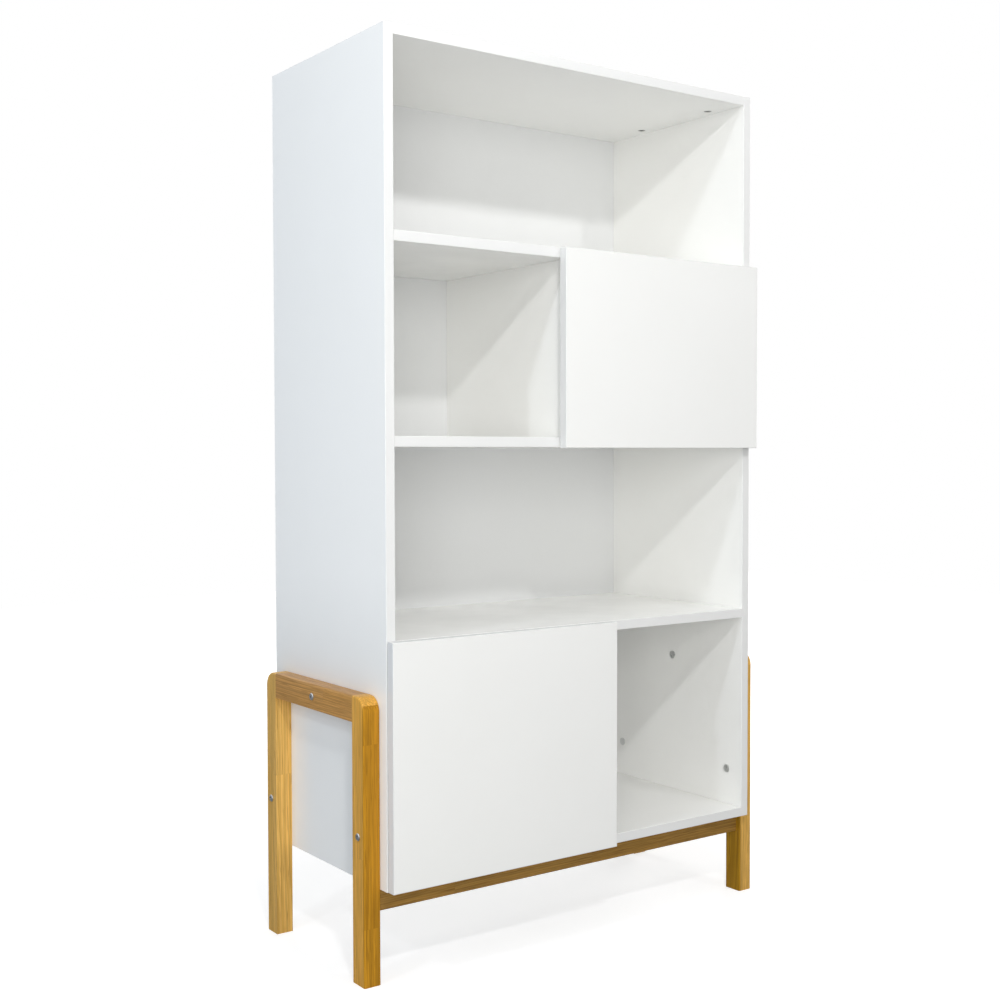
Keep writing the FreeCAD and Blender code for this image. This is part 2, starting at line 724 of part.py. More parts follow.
rail_dowel_spots = []
for hand, frame_x, case_face, inward in FRAMES:
    for joint_y in (FRAME_FRONT + S.post_depth, REAR_POST_Y):
        for rise in RAIL_DOWEL_RISES:
            rail_dowel_spots.append((
                frame_x + S.post_width / 2, joint_y - S.rail_dowel_length / 2, RAIL_Z + rise, ALONG_Y,
            ))
copies("rail_dowels", large_dowel, rail_dowel_spots)

stretcher_dowel_spots = []
for joint_x in (LEFT, RIGHT):
    for rise in STRETCHER_DOWEL_RISES:
        stretcher_dowel_spots.append((
            joint_x - S.dowel_length / 2, STRETCHER_Y + S.stretcher_thickness / 2, rise, ALONG_X,
        ))
copies("stretcher_dowels", small_dowel, stretcher_dowel_spots)

frame_bolt = headed(
    "frame_bolt", S.bolt_head_radius, S.bolt_head_height, S.bolt_radius, S.bolt_length, S.bolt_head_round,
)
socket_sketch = new_sketch(frame_bolt, "frame_bolt_socket_outline", "z", -S.bolt_head_height)
hexagon(socket_sketch, S.bolt_socket_radius)
pocket(frame_bolt, socket_sketch, "frame_bolt_socket", "z", S.bolt_socket_depth, 1)

sleeve_nut = headed("sleeve_nut", S.nut_flange_radius, S.nut_flange_height, S.nut_radius, S.nut_length)
bore = S.bolt_radius + S.nut_bore_play
drill(sleeve_nut, "sleeve_nut_bore", "z", S.nut_length, [(ZERO, ZERO)], bore, S.nut_bore_depth, -1)
nut_socket_sketch = new_sketch(sleeve_nut, "sleeve_nut_socket_outline", "z", -S.nut_flange_height)
hexagon(nut_socket_sketch, S.nut_socket_radius)
pocket(sleeve_nut, nut_socket_sketch, "sleeve_nut_socket", "z", S.nut_socket_depth, 1)

bolt_spots = []
nut_spots = []
for y, z in FRAME_BOLT_SPOTS:
    bolt_spots.append((LEFT - S.post_width, FRONT + y, z, ALONG_X))
    bolt_spots.append((RIGHT + S.post_width, FRONT + y, z, AGAINST_X))
    nut_spots.append((LEFT + S.board, FRONT + y, z, AGAINST_X))
    nut_spots.append((RIGHT - S.board, FRONT + y, z, ALONG_X))
copies("frame_bolts", frame_bolt, bolt_spots)
copies("frame_sleeve_nuts", sleeve_nut, nut_spots)

cam = new_body("cam")
disc(cam, "cam_barrel", "z", ZERO, ZERO, ZERO, S.cam_radius, S.cam_height)
drill(cam, "cam_mouth", "x", ZERO, [(ZERO, S.board / 2)], S.cam_mouth_radius, S.cam_radius + S.overrun, -1)
long_arm = S.cam_slot_length
short_arm = S.cam_slot_width
for bar, (u, v) in (("first", (long_arm, short_arm)), ("second", (short_arm, long_arm))):
    trench(cam, "cam_%s_slot" % bar, "z", ZERO, (-u / 2, -v / 2), (u, v), S.cam_slot_depth, 1)

cam_bolt = new_body("cam_bolt")
cam_bolt_length = S.cam_bolt_seat + S.cam_inset
neck = S.cam_bolt_radius * 2 / 3
turn(cam_bolt, "cam_bolt_turned", [
    (ZERO, ZERO), (S.cam_bolt_radius, ZERO), (S.cam_bolt_radius, cam_bolt_length - S.cam_radius),
    (neck, cam_bolt_length - S.cam_radius), (neck, cam_bolt_length - S.cam_radius / 2),
    (S.cam_bolt_head_radius, cam_bolt_length - S.cam_radius / 2), (S.cam_bolt_head_radius, cam_bolt_length),
    (ZERO, cam_bolt_length),
])

cam_spots = []
cam_bolt_spots = []
for level in (BOTTOM_Z, TOP_Z):
    for y in CAM_SPOTS:
        middle = level + S.board / 2
        cam_spots.append((LEFT + S.board + S.cam_inset, FRONT + y, level, UPRIGHT))
        cam_spots.append((RIGHT - S.board - S.cam_inset, FRONT + y, level, HALF_TURN))
        cam_bolt_spots.append((LEFT + S.board - S.cam_bolt_seat, FRONT + y, middle, ALONG_X))
        cam_bolt_spots.append((RIGHT - S.board + S.cam_bolt_seat, FRONT + y, middle, AGAINST_X))
copies("cam_housings", cam, cam_spots)
copies("cam_bolts", cam_bolt, cam_bolt_spots)


# Doors

def door(name, x, z, height, hinge_edge, inwards, hinges):
    """An overlay door with pockets for two hinge cups near its hinge edge."""
    body = new_body(name)
    block(body, name + "_board", "z", ZERO, (ZERO, ZERO), (S.door_width, S.door_thickness), height)
    round_edges(body, name + "_banding", S.edge_radius, lambda box: box.YLength < TOUCH)
    rises = [level - z for level in hinges]
    cups = [(hinge_edge + S.cup_centre * inwards, rise) for rise in rises]
    pocket_radius = S.cup_radius + S.cup_play
    pocket_depth = S.cup_depth + S.cup_play
    drill(body, name + "_cup_pockets", "y", S.door_thickness, cups, pocket_radius, pocket_depth, -1)
    ears = hinge_edge + S.cup_ear_centre * inwards
    screws = [(ears, rise + reach) for rise in rises for reach in CUP_SCREW_REACHES]
    screw_depth = S.cup_screw_length - S.cup_flange_thickness + S.dowel_end_play
    screw_hole = S.cup_screw_radius + S.dowel_play
    drill(body, name + "_cup_screw_holes", "y", S.door_thickness, screws, screw_hole, screw_depth, -1)
    place(body, x, DOOR_FRONT, z)
    return keep(body, name)


CUP_SCREW_REACHES = (-S.cup_screw_reach, S.cup_screw_reach)
UPPER_DOOR_X = RIGHT - S.door_width
door("upper_door", UPPER_DOOR_X, UPPER_DOOR_Z, UPPER_DOOR_HEIGHT, S.door_width, -1, UPPER_HINGES)
door("lower_door", LEFT, LOWER_DOOR_Z, LOWER_DOOR_HEIGHT, ZERO, 1, LOWER_HINGES)

bumper_height = S.door_gap - S.bumper_play
bevel = bumper_height / 3
bumper = new_body("bumper")
turn(bumper, "bumper_dot", [
    (ZERO, ZERO), (S.bumper_radius, ZERO), (S.bumper_radius, bumper_height - bevel),
    (S.bumper_radius - bevel, bumper_height), (ZERO, bumper_height),
])
DOOR_BACK = DOOR_FRONT + S.door_thickness
BUMPERS = (
    ("upper_door_bumpers", UPPER_DOOR_X + S.bumper_inset, (MIDDLE_SHELF_Z, UPPER_SHELF_Z)),
    ("lower_door_bumpers", LEFT + S.door_width - S.bumper_inset, (BOTTOM_Z, LOWER_SHELF_Z)),
)
for name, x, levels in BUMPERS:
    copies(name, bumper, [(x, DOOR_BACK, level + S.board / 2, ALONG_Y) for level in levels])


# Concealed hinges, drawn for the left side of the case
# Their origin is on the door's outer edge and front face, at the height of the cup's middle

PANEL_FRONT = S.door_thickness + S.door_gap
INNER_NOSE = (S.nose_pivots, S.door_thickness - S.nose_inner_pivot_depth)
OUTER_NOSE = (S.nose_pivots, S.door_thickness + S.nose_outer_pivot_proud)
INNER_CUP = (S.cup_pivots, S.door_thickness - S.cup_inner_pivot_depth)
OUTER_CUP = (S.cup_pivots, S.door_thickness - S.cup_outer_pivot_depth)
PIN_HOLE = S.pin_radius + S.pin_play
ARM_TOP = S.nose_pivots + S.nose_half_width
ARM_BASE = S.board + S.plate_thickness + S.link_play
PLATE_MIDDLE = PANEL_FRONT + S.plate_setback
INNER_LINK_START = S.nose_half_height + S.link_play
INNER_LINK_END = INNER_LINK_START + S.link_thickness
OUTER_LINK_START = INNER_LINK_END + S.link_play
OUTER_LINK_END = OUTER_LINK_START + S.link_thickness
CHEEK_END = S.cup_cheek_inner + S.cup_cheek_thickness


def hinge_plate():
    """A plate with two screwed wings, and the saddle that the arm straddles."""
    body = new_body("hinge_plate")
    wing_corner = (PLATE_MIDDLE - S.plate_wing_width / 2, -S.plate_wing_reach)
    wing_size = (S.plate_wing_width, S.plate_wing_reach * 2)
    block(body, "hinge_plate_wings", "x", S.board, wing_corner, wing_size, S.plate_thickness)
    round_edges(
        body, "hinge_plate_wing_ends", S.plate_wing_width / 3,
        lambda box: box.XLength > TOUCH,
    )
    saddle_corner = (PLATE_MIDDLE - S.plate_saddle_length / 2, -S.plate_saddle_half_height)
    saddle_size = (S.plate_saddle_length, S.plate_saddle_half_height * 2)
    saddle_rise = ARM_TOP - S.arm_wall - S.link_play - S.board
    block(body, "hinge_plate_saddle", "x", S.board, saddle_corner, saddle_size, saddle_rise)
    screws = [(PLATE_MIDDLE, reach) for reach in PLATE_SCREW_REACHES]
    hole = S.plate_screw_radius + S.screw_play
    drill(body, "hinge_plate_screw_holes", "x", S.board, screws, hole, S.plate_thickness, 1)
    clamp = [(PANEL_FRONT + S.clamp_screw_setback, ZERO)]
    hole = S.clamp_screw_radius + S.screw_play
    drill(body, "hinge_plate_clamp_hole", "x", S.board + saddle_rise, clamp, hole, S.clamp_screw_length, -1)
    return body


def hinge_arm():
    """A folded channel over the saddle, with a nose that reaches into the cup."""
    body = new_body("hinge_arm")
    corner = (ARM_BASE, PANEL_FRONT + S.arm_front)
    extent = (ARM_TOP - ARM_BASE, S.arm_length)
    block(body, "hinge_arm_channel", "z", -S.arm_half_height, corner, extent, S.arm_half_height * 2)
    round_edges(
        body, "hinge_arm_shoulders", S.arm_half_height / 2,
        lambda box: box.XLength > TOUCH and near(box.YMax, PANEL_FRONT + S.arm_front),
    )
    inside = S.arm_half_height - S.arm_wall
    hollow_corner = (PANEL_FRONT + S.arm_front - S.overrun, -inside)
    hollow_size = (S.arm_length + S.overrun * 2, inside * 2)
    hollow_depth = ARM_TOP - S.arm_wall - ARM_BASE
    trench(body, "hinge_arm_hollow", "x", ARM_BASE, hollow_corner, hollow_size, hollow_depth, 1)
    nose = new_sketch(body, "hinge_arm_nose_outline", "z", -S.nose_half_height)
    slot(nose, INNER_NOSE, (S.nose_pivots, PANEL_FRONT + S.nose_root), S.nose_half_width)
    pad(body, nose, "hinge_arm_nose", "z", S.nose_half_height * 2)
    pins = [INNER_NOSE, OUTER_NOSE]
    drill(body, "hinge_arm_pin_holes", "z", -S.nose_half_height, pins, PIN_HOLE, S.nose_half_height * 2, 1)
    clamp = [(PANEL_FRONT + S.clamp_screw_setback, ZERO)]
    hole = S.clamp_screw_radius + S.screw_play
    drill(body, "hinge_arm_clamp_hole", "x", ARM_TOP, clamp, hole, S.arm_wall, -1)
    return body


def hinge_link(name, nose_end, cup_end, start, bow, web_side):
    """Two link plates over the nose, bowed into the cup and joined by a web along one edge."""
    body = new_body(name)
    upper_plate = new_sketch(body, name + "_upper_plate_outline", "z", start)
    bent_bar(upper_plate, cup_end, nose_end, bow, S.link_half_width)
    pad(body, upper_plate, name + "_upper_plate", "z", S.link_thickness)
    to_edge = (S.link_half_width - S.link_web_thickness / 2) * web_side
    middle = ((nose_end[0] + cup_end[0]) / 2, (nose_end[1] + cup_end[1]) / 2 - bow + to_edge)
    corner = (middle[0] - S.link_web_length / 2, middle[1] - S.link_web_thickness / 2)
    block(body, name + "_web", "z", -start, corner, (S.link_web_length, S.link_web_thickness), start * 2)
    lower_plate = new_sketch(body, name + "_lower_plate_outline", "z", -start)
    bent_bar(lower_plate, cup_end, nose_end, bow, S.link_half_width)
    pad(body, lower_plate, name + "_lower_plate", "z", S.link_thickness, -1)
    end = start + S.link_thickness
    drill(body, name + "_eyes", "z", -end, [nose_end, cup_end], PIN_HOLE, end * 2, 1)
    return body


def hinge_cup():
    """A pressed cup with a flange, two screwed ears and two cheeks that hold the pivot pin."""
    body = new_body("hinge_cup")
    floor = S.door_thickness - S.cup_depth
    disc(body, "hinge_cup_barrel", "y", floor, S.cup_centre, ZERO, S.cup_radius, S.cup_depth)
    flange = S.cup_flange_thickness
    rim = S.cup_radius + S.cup_rim
    disc(body, "hinge_cup_rim", "y", S.door_thickness, S.cup_centre, ZERO, rim, flange)
    ear_corner = (S.cup_ear_centre - S.cup_ear_width / 2, -S.cup_ear_reach)
    ear_size = (S.cup_ear_width, S.cup_ear_reach * 2)
    block(body, "hinge_cup_ears", "y", S.door_thickness, ear_corner, ear_size, flange)
    round_edges(
        body, "hinge_cup_ear_ends", S.cup_ear_width / 3,
        lambda box: box.XLength < TOUCH and box.ZLength < TOUCH and box.YLength > TOUCH
        and near(abs(box.ZMin), S.cup_ear_reach),
    )
    face = S.door_thickness + flange
    drill(
        body, "hinge_cup_hollow", "y", face, [(S.cup_centre, ZERO)],
        S.cup_radius - S.cup_wall, S.cup_depth + flange - S.cup_wall, -1,
    )
    cheek_corner = (S.cup_pivots - S.cup_cheek_half_length, floor + S.cup_wall / 2)
    cheek_size = (S.cup_cheek_half_length * 2, S.cup_depth - S.cup_wall / 2)
    for side, start, towards in (("upper", S.cup_cheek_inner, 1), ("lower", -S.cup_cheek_inner, -1)):
        name = "hinge_cup_%s_cheek" % side
        block(body, name, "z", start, cheek_corner, cheek_size, S.cup_cheek_thickness, towards)
    drill(body, "hinge_cup_pin_holes", "z", -CHEEK_END, [INNER_CUP], PIN_HOLE, CHEEK_END * 2, 1)
    screws = [(S.cup_ear_centre, reach) for reach in CUP_SCREW_REACHES]
    drill(body, "hinge_cup_screw_holes", "y", face, screws, S.cup_screw_radius + S.screw_play, flange, -1)
    return body


def pin(name, half_length):
    """A plain pivot pin, centred on its own origin."""
    body = new_body(name)
    disc(body, name + "_rod", "z", -half_length, ZERO, ZERO, S.pin_radius, half_length * 2)
    return body


def screw(name, radius, length):
    """A flat-headed screw with one driver slot."""
    body = headed(name, S.screw_head_radius, S.screw_head_height, radius, length)
    slot_corner = (-S.screw_head_radius - S.overrun, -S.screw_slot_width / 2)
    slot_size = ((S.screw_head_radius + S.overrun) * 2, S.screw_slot_width)
    trench(body, name + "_slot", "z", -S.screw_head_height, slot_corner, slot_size, S.screw_slot_depth, 1)
    return body


def from_left(point):
    return LEFT + point[0], DOOR_FRONT + point[1]


def from_right(point):
    return RIGHT - point[0], DOOR_FRONT + point[1]


HINGE_TEMPLATES = {
    "hinge_plates": hinge_plate(),
    "hinge_arms": hinge_arm(),
    "hinge_inner_links": hinge_link(
        "inner_link", INNER_NOSE, INNER_CUP, INNER_LINK_START, S.inner_link_bow, -1,
    ),
    "hinge_outer_links": hinge_link(
        "outer_link", OUTER_NOSE, OUTER_CUP, OUTER_LINK_START, S.outer_link_bow, 1,
    ),
    "hinge_cups": hinge_cup(),
}
for piece, template in HINGE_TEMPLATES.items():
    twin = mirrored(template, "right_" + piece)
    copies("lower_" + piece, template, [(LEFT, DOOR_FRONT, z, UPRIGHT) for z in LOWER_HINGES])
    copies("upper_" + piece, twin, [(RIGHT, DOOR_FRONT, z, UPRIGHT) for z in UPPER_HINGES])

inner_pin = pin("inner_pin", INNER_LINK_END)
outer_pin = pin("outer_pin", OUTER_LINK_END)
cup_pin = pin("cup_pin", CHEEK_END)
link_rivet = headed(
    "link_rivet", S.rivet_head_radius, S.rivet_head_height, S.pin_radius, S.link_thickness,
)
plate_screw = screw("plate_screw", S.plate_screw_radius, S.plate_screw_length)
cup_screw = screw("cup_screw", S.cup_screw_radius, S.cup_screw_length)
clamp_screw = screw("clamp_screw", S.clamp_screw_radius, S.clamp_screw_length)

SIDES = (("lower", from_left, LOWER_HINGES, AGAINST_X), ("upper", from_right, UPPER_HINGES, ALONG_X))
plate_screw_spots = []
clamp_screw_spots = []
for level, spot, heights, into_side in SIDES:
    cup_screws = []
    for z in heights:
        plate_face = spot((S.board + S.plate_thickness, PLATE_MIDDLE))
        for reach in PLATE_SCREW_REACHES:
            plate_screw_spots.append((*plate_face, z + reach, into_side))
        for reach in CUP_SCREW_REACHES:
            face = S.door_thickness + S.cup_flange_thickness
            cup_screws.append((*spot((S.cup_ear_centre, face)), z + reach, AGAINST_Y))
        clamp_screw_spots.append((*spot((ARM_TOP, PANEL_FRONT + S.clamp_screw_setback)), z, into_side))
    copies(level + "_cup_screws", cup_screw, cup_screws)
    copies(level + "_inner_nose_pins", inner_pin, [(*spot(INNER_NOSE), z, UPRIGHT) for z in heights])
    copies(level + "_outer_nose_pins", outer_pin, [(*spot(OUTER_NOSE), z, UPRIGHT) for z in heights])
    copies(level + "_inner_cup_pins", cup_pin, [(*spot(INNER_CUP), z, UPRIGHT) for z in heights])
    rivets = []
    for z in heights:
        rivets.append((*spot(OUTER_CUP), z - OUTER_LINK_END, UPRIGHT))
        rivets.append((*spot(OUTER_CUP), z + OUTER_LINK_END, UPSIDE_DOWN))
    copies(level + "_link_rivets", link_rivet, rivets)
copies("hinge_plate_screws", plate_screw, plate_screw_spots)
copies("hinge_clamp_screws", clamp_screw, clamp_screw_spots)


# Check everything, then write one file for each sub-part

doc.recompute()
for thing in doc.Objects:
    for word in ("Invalid", "Error"):
        if word in thing.State:
            raise RuntimeError("%s is %s" % (thing.Label, word))
for thing in NODES:
    shape = thing.Shape
    if shape.isNull() or not shape.isValid() or not shape.Solids:
        raise RuntimeError("%s has no valid shape" % thing.Label)

os.makedirs("parts", exist_ok=True)
for thing in NODES:
    thing.Shape.exportStep(os.path.join("parts", thing.Label + ".step"))
    print(thing.Label, len(thing.Shape.Solids), "solids", round(thing.Shape.Volume), "mm3")
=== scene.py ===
"""Looks of the bookcase: white boards, doors on concealed hinges, and oak frames that carry it."""

import math

import bpy
from mathutils import Matrix, Vector


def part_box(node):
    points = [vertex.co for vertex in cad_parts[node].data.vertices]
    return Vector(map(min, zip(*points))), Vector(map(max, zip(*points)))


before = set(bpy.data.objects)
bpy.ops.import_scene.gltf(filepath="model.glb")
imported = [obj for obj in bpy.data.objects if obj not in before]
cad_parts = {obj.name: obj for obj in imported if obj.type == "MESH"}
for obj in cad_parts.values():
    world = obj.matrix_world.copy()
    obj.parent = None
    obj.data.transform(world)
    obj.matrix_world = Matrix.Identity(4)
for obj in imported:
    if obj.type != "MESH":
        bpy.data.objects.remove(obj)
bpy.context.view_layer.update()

bl_info = {
    "name": "Bookcase on oak frames",
    "version": (1, 0, 0),
    "blender": (4, 5, 0),
    "location": "View3D > Sidebar > Bookcase",
    "description": "Finishes the bookcase's boards, doors, oak frames and fittings, and lights it",
    "category": "3D View",
}

TAB = "Bookcase"

# The boards and doors with the axis square to their broad faces
BOARDS = {
    "left_side_panel": "X",
    "right_side_panel": "X",
    "upper_partition": "X",
    "lower_partition": "X",
    "top_panel": "Z",
    "bottom_panel": "Z",
    "upper_shelf": "Z",
    "middle_shelf": "Z",
    "lower_shelf": "Z",
}
DOORS = {"upper_door": "Y", "lower_door": "Y"}


def on_both_doors(*parts):
    """The nodes of these parts, one for each door."""
    return [door + "_" + part for part in parts for door in ("lower", "upper")]


REAR_POSTS = ("left_rear_post", "right_rear_post")
TOP_RAILS = ("left_top_rail", "right_top_rail")
BEECH_DOWELS = ("shelf_dowels", "partition_dowels", "rail_dowels", "stretcher_dowels")
PLATED_BOLTS = ("frame_bolts", "cam_bolts")
PRESSED_HINGE_PARTS = on_both_doors(
    "hinge_arms", "hinge_plates", "hinge_inner_links", "hinge_outer_links", "hinge_cups"
)
HINGE_PINS = on_both_doors("inner_nose_pins", "outer_nose_pins", "inner_cup_pins", "link_rivets")
HINGE_SCREWS = on_both_doors("cup_screws") + ["hinge_plate_screws", "hinge_clamp_screws"]
BUMPERS = on_both_doors("door_bumpers")

WHITE = (1.0, 1.0, 1.0)

# The turn that lays a piece's length along Z, where the wood grain runs
GRAIN_TURNS = {
    "X": (0.0, math.pi / 2, 0.0),
    "Y": (math.pi / 2, 0.0, 0.0),
    "Z": (0.0, 0.0, 0.0),
}

# How square a face stands to a board's broad axis before it counts as a broad face
BROAD_FACING = 0.7
# How far in from a board's edge its gloss is worn, in strip thicknesses
WORN_STRIPS = 3.0
# How the foil's roughness varies, and how much duller its worn edges are
ROUGHNESS_SPREAD = (-0.03, 0.04)
WORN_DULLNESS = 0.06
# How high the press print behind the back panel stands beside the grain of its paint
PRINT_RELIEF = 1.5

# How much of each shows over what lies under it
GLUE_LINE_SHARE = 0.45
RING_SHARE = 0.7
PORE_SHARE = 0.55
STAVE_JOINT_SHARE = 0.4
# What the fibres and streaks multiply the oak's colour by, at least and at most
FIBRE_TONES = (0.84, 1.1)
STREAK_TONES = (0.79, 1.15)
# How much duller the lacquer is between the fibres
DULL_LACQUER = 0.08

# Staves: the depth of timber that shares them, how far their ends are staggered, in lengths,
# and how far the grain moves from one stave to the next, in metres
STAVE_DEPTH = 0.4
STAGGER = 3.7
GRAIN_SHIFT = (0.4, 0.4, 3.0)

# Grain: its slow bends, in turns to the metre, the lean of its rings along the piece, how far
# the heart of the tree lies outside it, in metres, and how sharply late wood follows early wood
GRAIN_BENDS = (18.0, 18.0, 1.3)
BEND_PUSH = 4.0
RING_LEAN = (0.012, -0.008)
HEART = (0.13, 0.07)
LATE_WOOD = 2.2
# Width over length of a fibre and a pore, and how fine streaks and pores are beside fibres
FIBRE_SHAPE = (1.0, 1.0, 0.016)
PORE_SHAPE = (1.0, 1.0, 0.03)
STREAK_FINENESS = 0.3
PORE_FINENESS = 0.62

# The band of a noise's values that each mask spreads from 0 to 1
CLOUD_BAND = (0.3, 0.7)
FIBRE_BAND = (0.28, 0.72)
STREAK_BAND = (0.35, 0.65)
PORE_BAND = (0.6, 0.7)
RUBBED_BAND = (0.58, 0.72)
# The part of a growth ring over which pores thin out, and the share of them that late wood has
THINNING_BAND = (0.15, 0.75)
LATE_PORES = 0.25
# How high fibres stand beside the depth of the pores
FIBRE_RELIEF = 0.35

# How far the height of a texture stands out, in metres
FOIL_DEPTH = 0.0002
WOOD_DEPTH = 0.0002
PLATE_DEPTH = 0.00005
BUMPER_DEPTH = 0.0001

# The camera's film and how near and far it sees, in millimetres and metres
FILM_WIDTH = 36.0
NEAREST = 0.05
FARTHEST = 60.0

# Half the floor's width, and the distances from the object between which the floor turns white
# for the camera and begins to glow in the foil's reflections, all in metres
FLOOR_REACH = 6.0
LIFT_DISTANCES = (0.5, 2.2)
MIRRORED_GLOW_DISTANCES = (4.2, 6.0)
MIRRORED_GLOW = 0.9

# The lamps of the studio: place, point lit, size, power in watts and colour of each
MIDDLE = (0.0, 0.0, 0.8)
REAR_MIDDLE = (0.0, 0.2, 0.8)
SOFT_LAMPS = {
    "front_left_key": ((-1.343, -2.409, 2.594), MIDDLE, 0.14, 25.0, WHITE),
    "far_left_key": ((-2.473, -0.857, 2.513), MIDDLE, 0.14, 12.0, (0.88, 0.94, 1.0)),
    "front_right_key": ((0.933, -2.409, 2.594), MIDDLE, 0.14, 10.0, WHITE),
    "front_left_softbox": ((-2.2, -3.3, 1.1), (0.0, 0.0, 0.9), 2.0, 65.0, (1.0, 1.0, 0.97)),
    "left_softbox": ((-3.4, 0.3, 1.4), MIDDLE, 2.4, 17.5, (0.52, 0.72, 1.0)),
    "overhead_softbox": ((0.0, -1.0, 3.4), MIDDLE, 3.0, 35.0, WHITE),
    "rear_softbox": ((0.4, 3.3, 1.7), REAR_MIDDLE, 1.4, 34.0, WHITE),
    "rear_right_softbox": ((2.9, 1.6, 1.6), REAR_MIDDLE, 1.4, 34.0, WHITE),
}
# The glossy foil would mirror these as white patches on the sides, so they only light it
UNMIRRORED_LAMPS = (
    "front_left_softbox",
    "left_softbox",
    "rear_softbox",
    "rear_right_softbox",
)


# Nodes of a material or a shared effect


class Graph:
    """The nodes of one material or one shared effect, added and joined by name."""

    def __init__(self, tree):
        self.tree = tree

    def add(self, kind, inputs, **settings):
        node = self.tree.nodes.new(kind)
        for key, value in settings.items():
            setattr(node, key, value)
        self.fill(node, inputs)
        return node

    def fill(self, node, inputs):
        """Give a node what its inputs take, by their names or numbers."""
        for key, value in inputs.items():
            self.put(node.inputs[key], value)

    def put(self, socket, value):
        """Give a socket what another one puts out, or a plain value. A colour has three shares."""
        if isinstance(value, bpy.types.NodeSocket):
            self.tree.links.new(value, socket)
        elif socket.type == "RGBA":
            socket.default_value = (*value, 1.0)
        else:
            socket.default_value = value

    def math(self, work, *values):
        node = self.add("ShaderNodeMath", dict(enumerate(values)), operation=work)
        return node.outputs["Value"]

    def plus(self, one, other):
        return self.math("ADD", one, other)

    def minus(self, one, other):
        return self.math("SUBTRACT", one, other)

    def times(self, one, other):
        return self.math("MULTIPLY", one, other)

    def over(self, one, other):
        return self.math("DIVIDE", one, other)

    def lower(self, one, other):
        return self.math("MINIMUM", one, other)

    def higher(self, one, other):
        return self.math("MAXIMUM", one, other)

    def vector(self, work, *values):
        node = self.add("ShaderNodeVectorMath", dict(enumerate(values)), operation=work)
        return node.outputs["Vector"]

    def dot(self, one, other):
        node = self.add("ShaderNodeVectorMath", {0: one, 1: other}, operation="DOT_PRODUCT")
        return node.outputs["Value"]

    def split(self, vector):
        return self.add("ShaderNodeSeparateXYZ", {"Vector": vector}).outputs

    def join(self, x, y, z):
        return self.add("ShaderNodeCombineXYZ", {"X": x, "Y": y, "Z": z}).outputs["Vector"]

    def span(self, value, low, high, to_low=0.0, to_high=1.0, kind="LINEAR"):
        """Stretch the values from low to high over another range, and hold them inside it."""
        node = self.add(
            "ShaderNodeMapRange",
            {
                "Value": value,
                "From Min": low,
                "From Max": high,
                "To Min": to_low,
                "To Max": to_high,
            },
            interpolation_type=kind,
        )
        return node.outputs["Result"]

    def between(self, mask, at_none, at_full):
        """A value that goes from one number to another as the mask goes from 0 to 1."""
        return self.span(mask, 0.0, 1.0, at_none, at_full)

    def blend(self, factor, first, second, kind="MIX"):
        node = self.add(
            "ShaderNodeMix",
            {0: factor, 6: first, 7: second},
            data_type="RGBA",
            blend_type=kind,
        )
        return node.outputs[2]

    def tinted(self, shade, tint):
        return self.blend(1.0, shade, tint, "MULTIPLY")

    def noise(self, vector, scale, detail, roughness):
        return self.add(
            "ShaderNodeTexNoise",
            {"Vector": vector, "Scale": scale, "Detail": detail, "Roughness": roughness},
        ).outputs

    def chance(self, x, y, z):
        """A number and a colour drawn for each cell of a lattice."""
        place = self.join(x, y, z)
        return self.add(
            "ShaderNodeTexWhiteNoise", {"Vector": place}, noise_dimensions="3D"
        ).outputs

    def bump(self, height, strength, depth):
        node = self.add(
            "ShaderNodeBump", {"Height": height, "Strength": strength, "Distance": depth}
        )
        return node.outputs["Normal"]

    def effect(self, name, inputs):
        """Place a shared effect here, with its own values."""
        node = self.tree.nodes.new("ShaderNodeGroup")
        node.node_tree = bpy.data.node_groups[name]
        self.fill(node, inputs)
        return node.outputs


# Shared effects

FLOAT = "NodeSocketFloat"
VECTOR = "NodeSocketVector"
PLACE = (VECTOR, (0.0, 0.0, 0.0))


def new_effect(name, inputs, outputs):
    """Start a shared effect.

    It comes back as its graph, what goes in, and the sockets that take what comes out.
    """
    tree = bpy.data.node_groups.new(name, "ShaderNodeTree")
    for key, (kind, value) in inputs.items():
        socket = tree.interface.new_socket(key, in_out="INPUT", socket_type=kind)
        socket.default_value = value
    for key, kind in outputs.items():
        tree.interface.new_socket(key, in_out="OUTPUT", socket_type=kind)
    graph = Graph(tree)
    given = graph.add("NodeGroupInput", {}).outputs
    made = graph.add("NodeGroupOutput", {}).inputs
    return graph, given, made


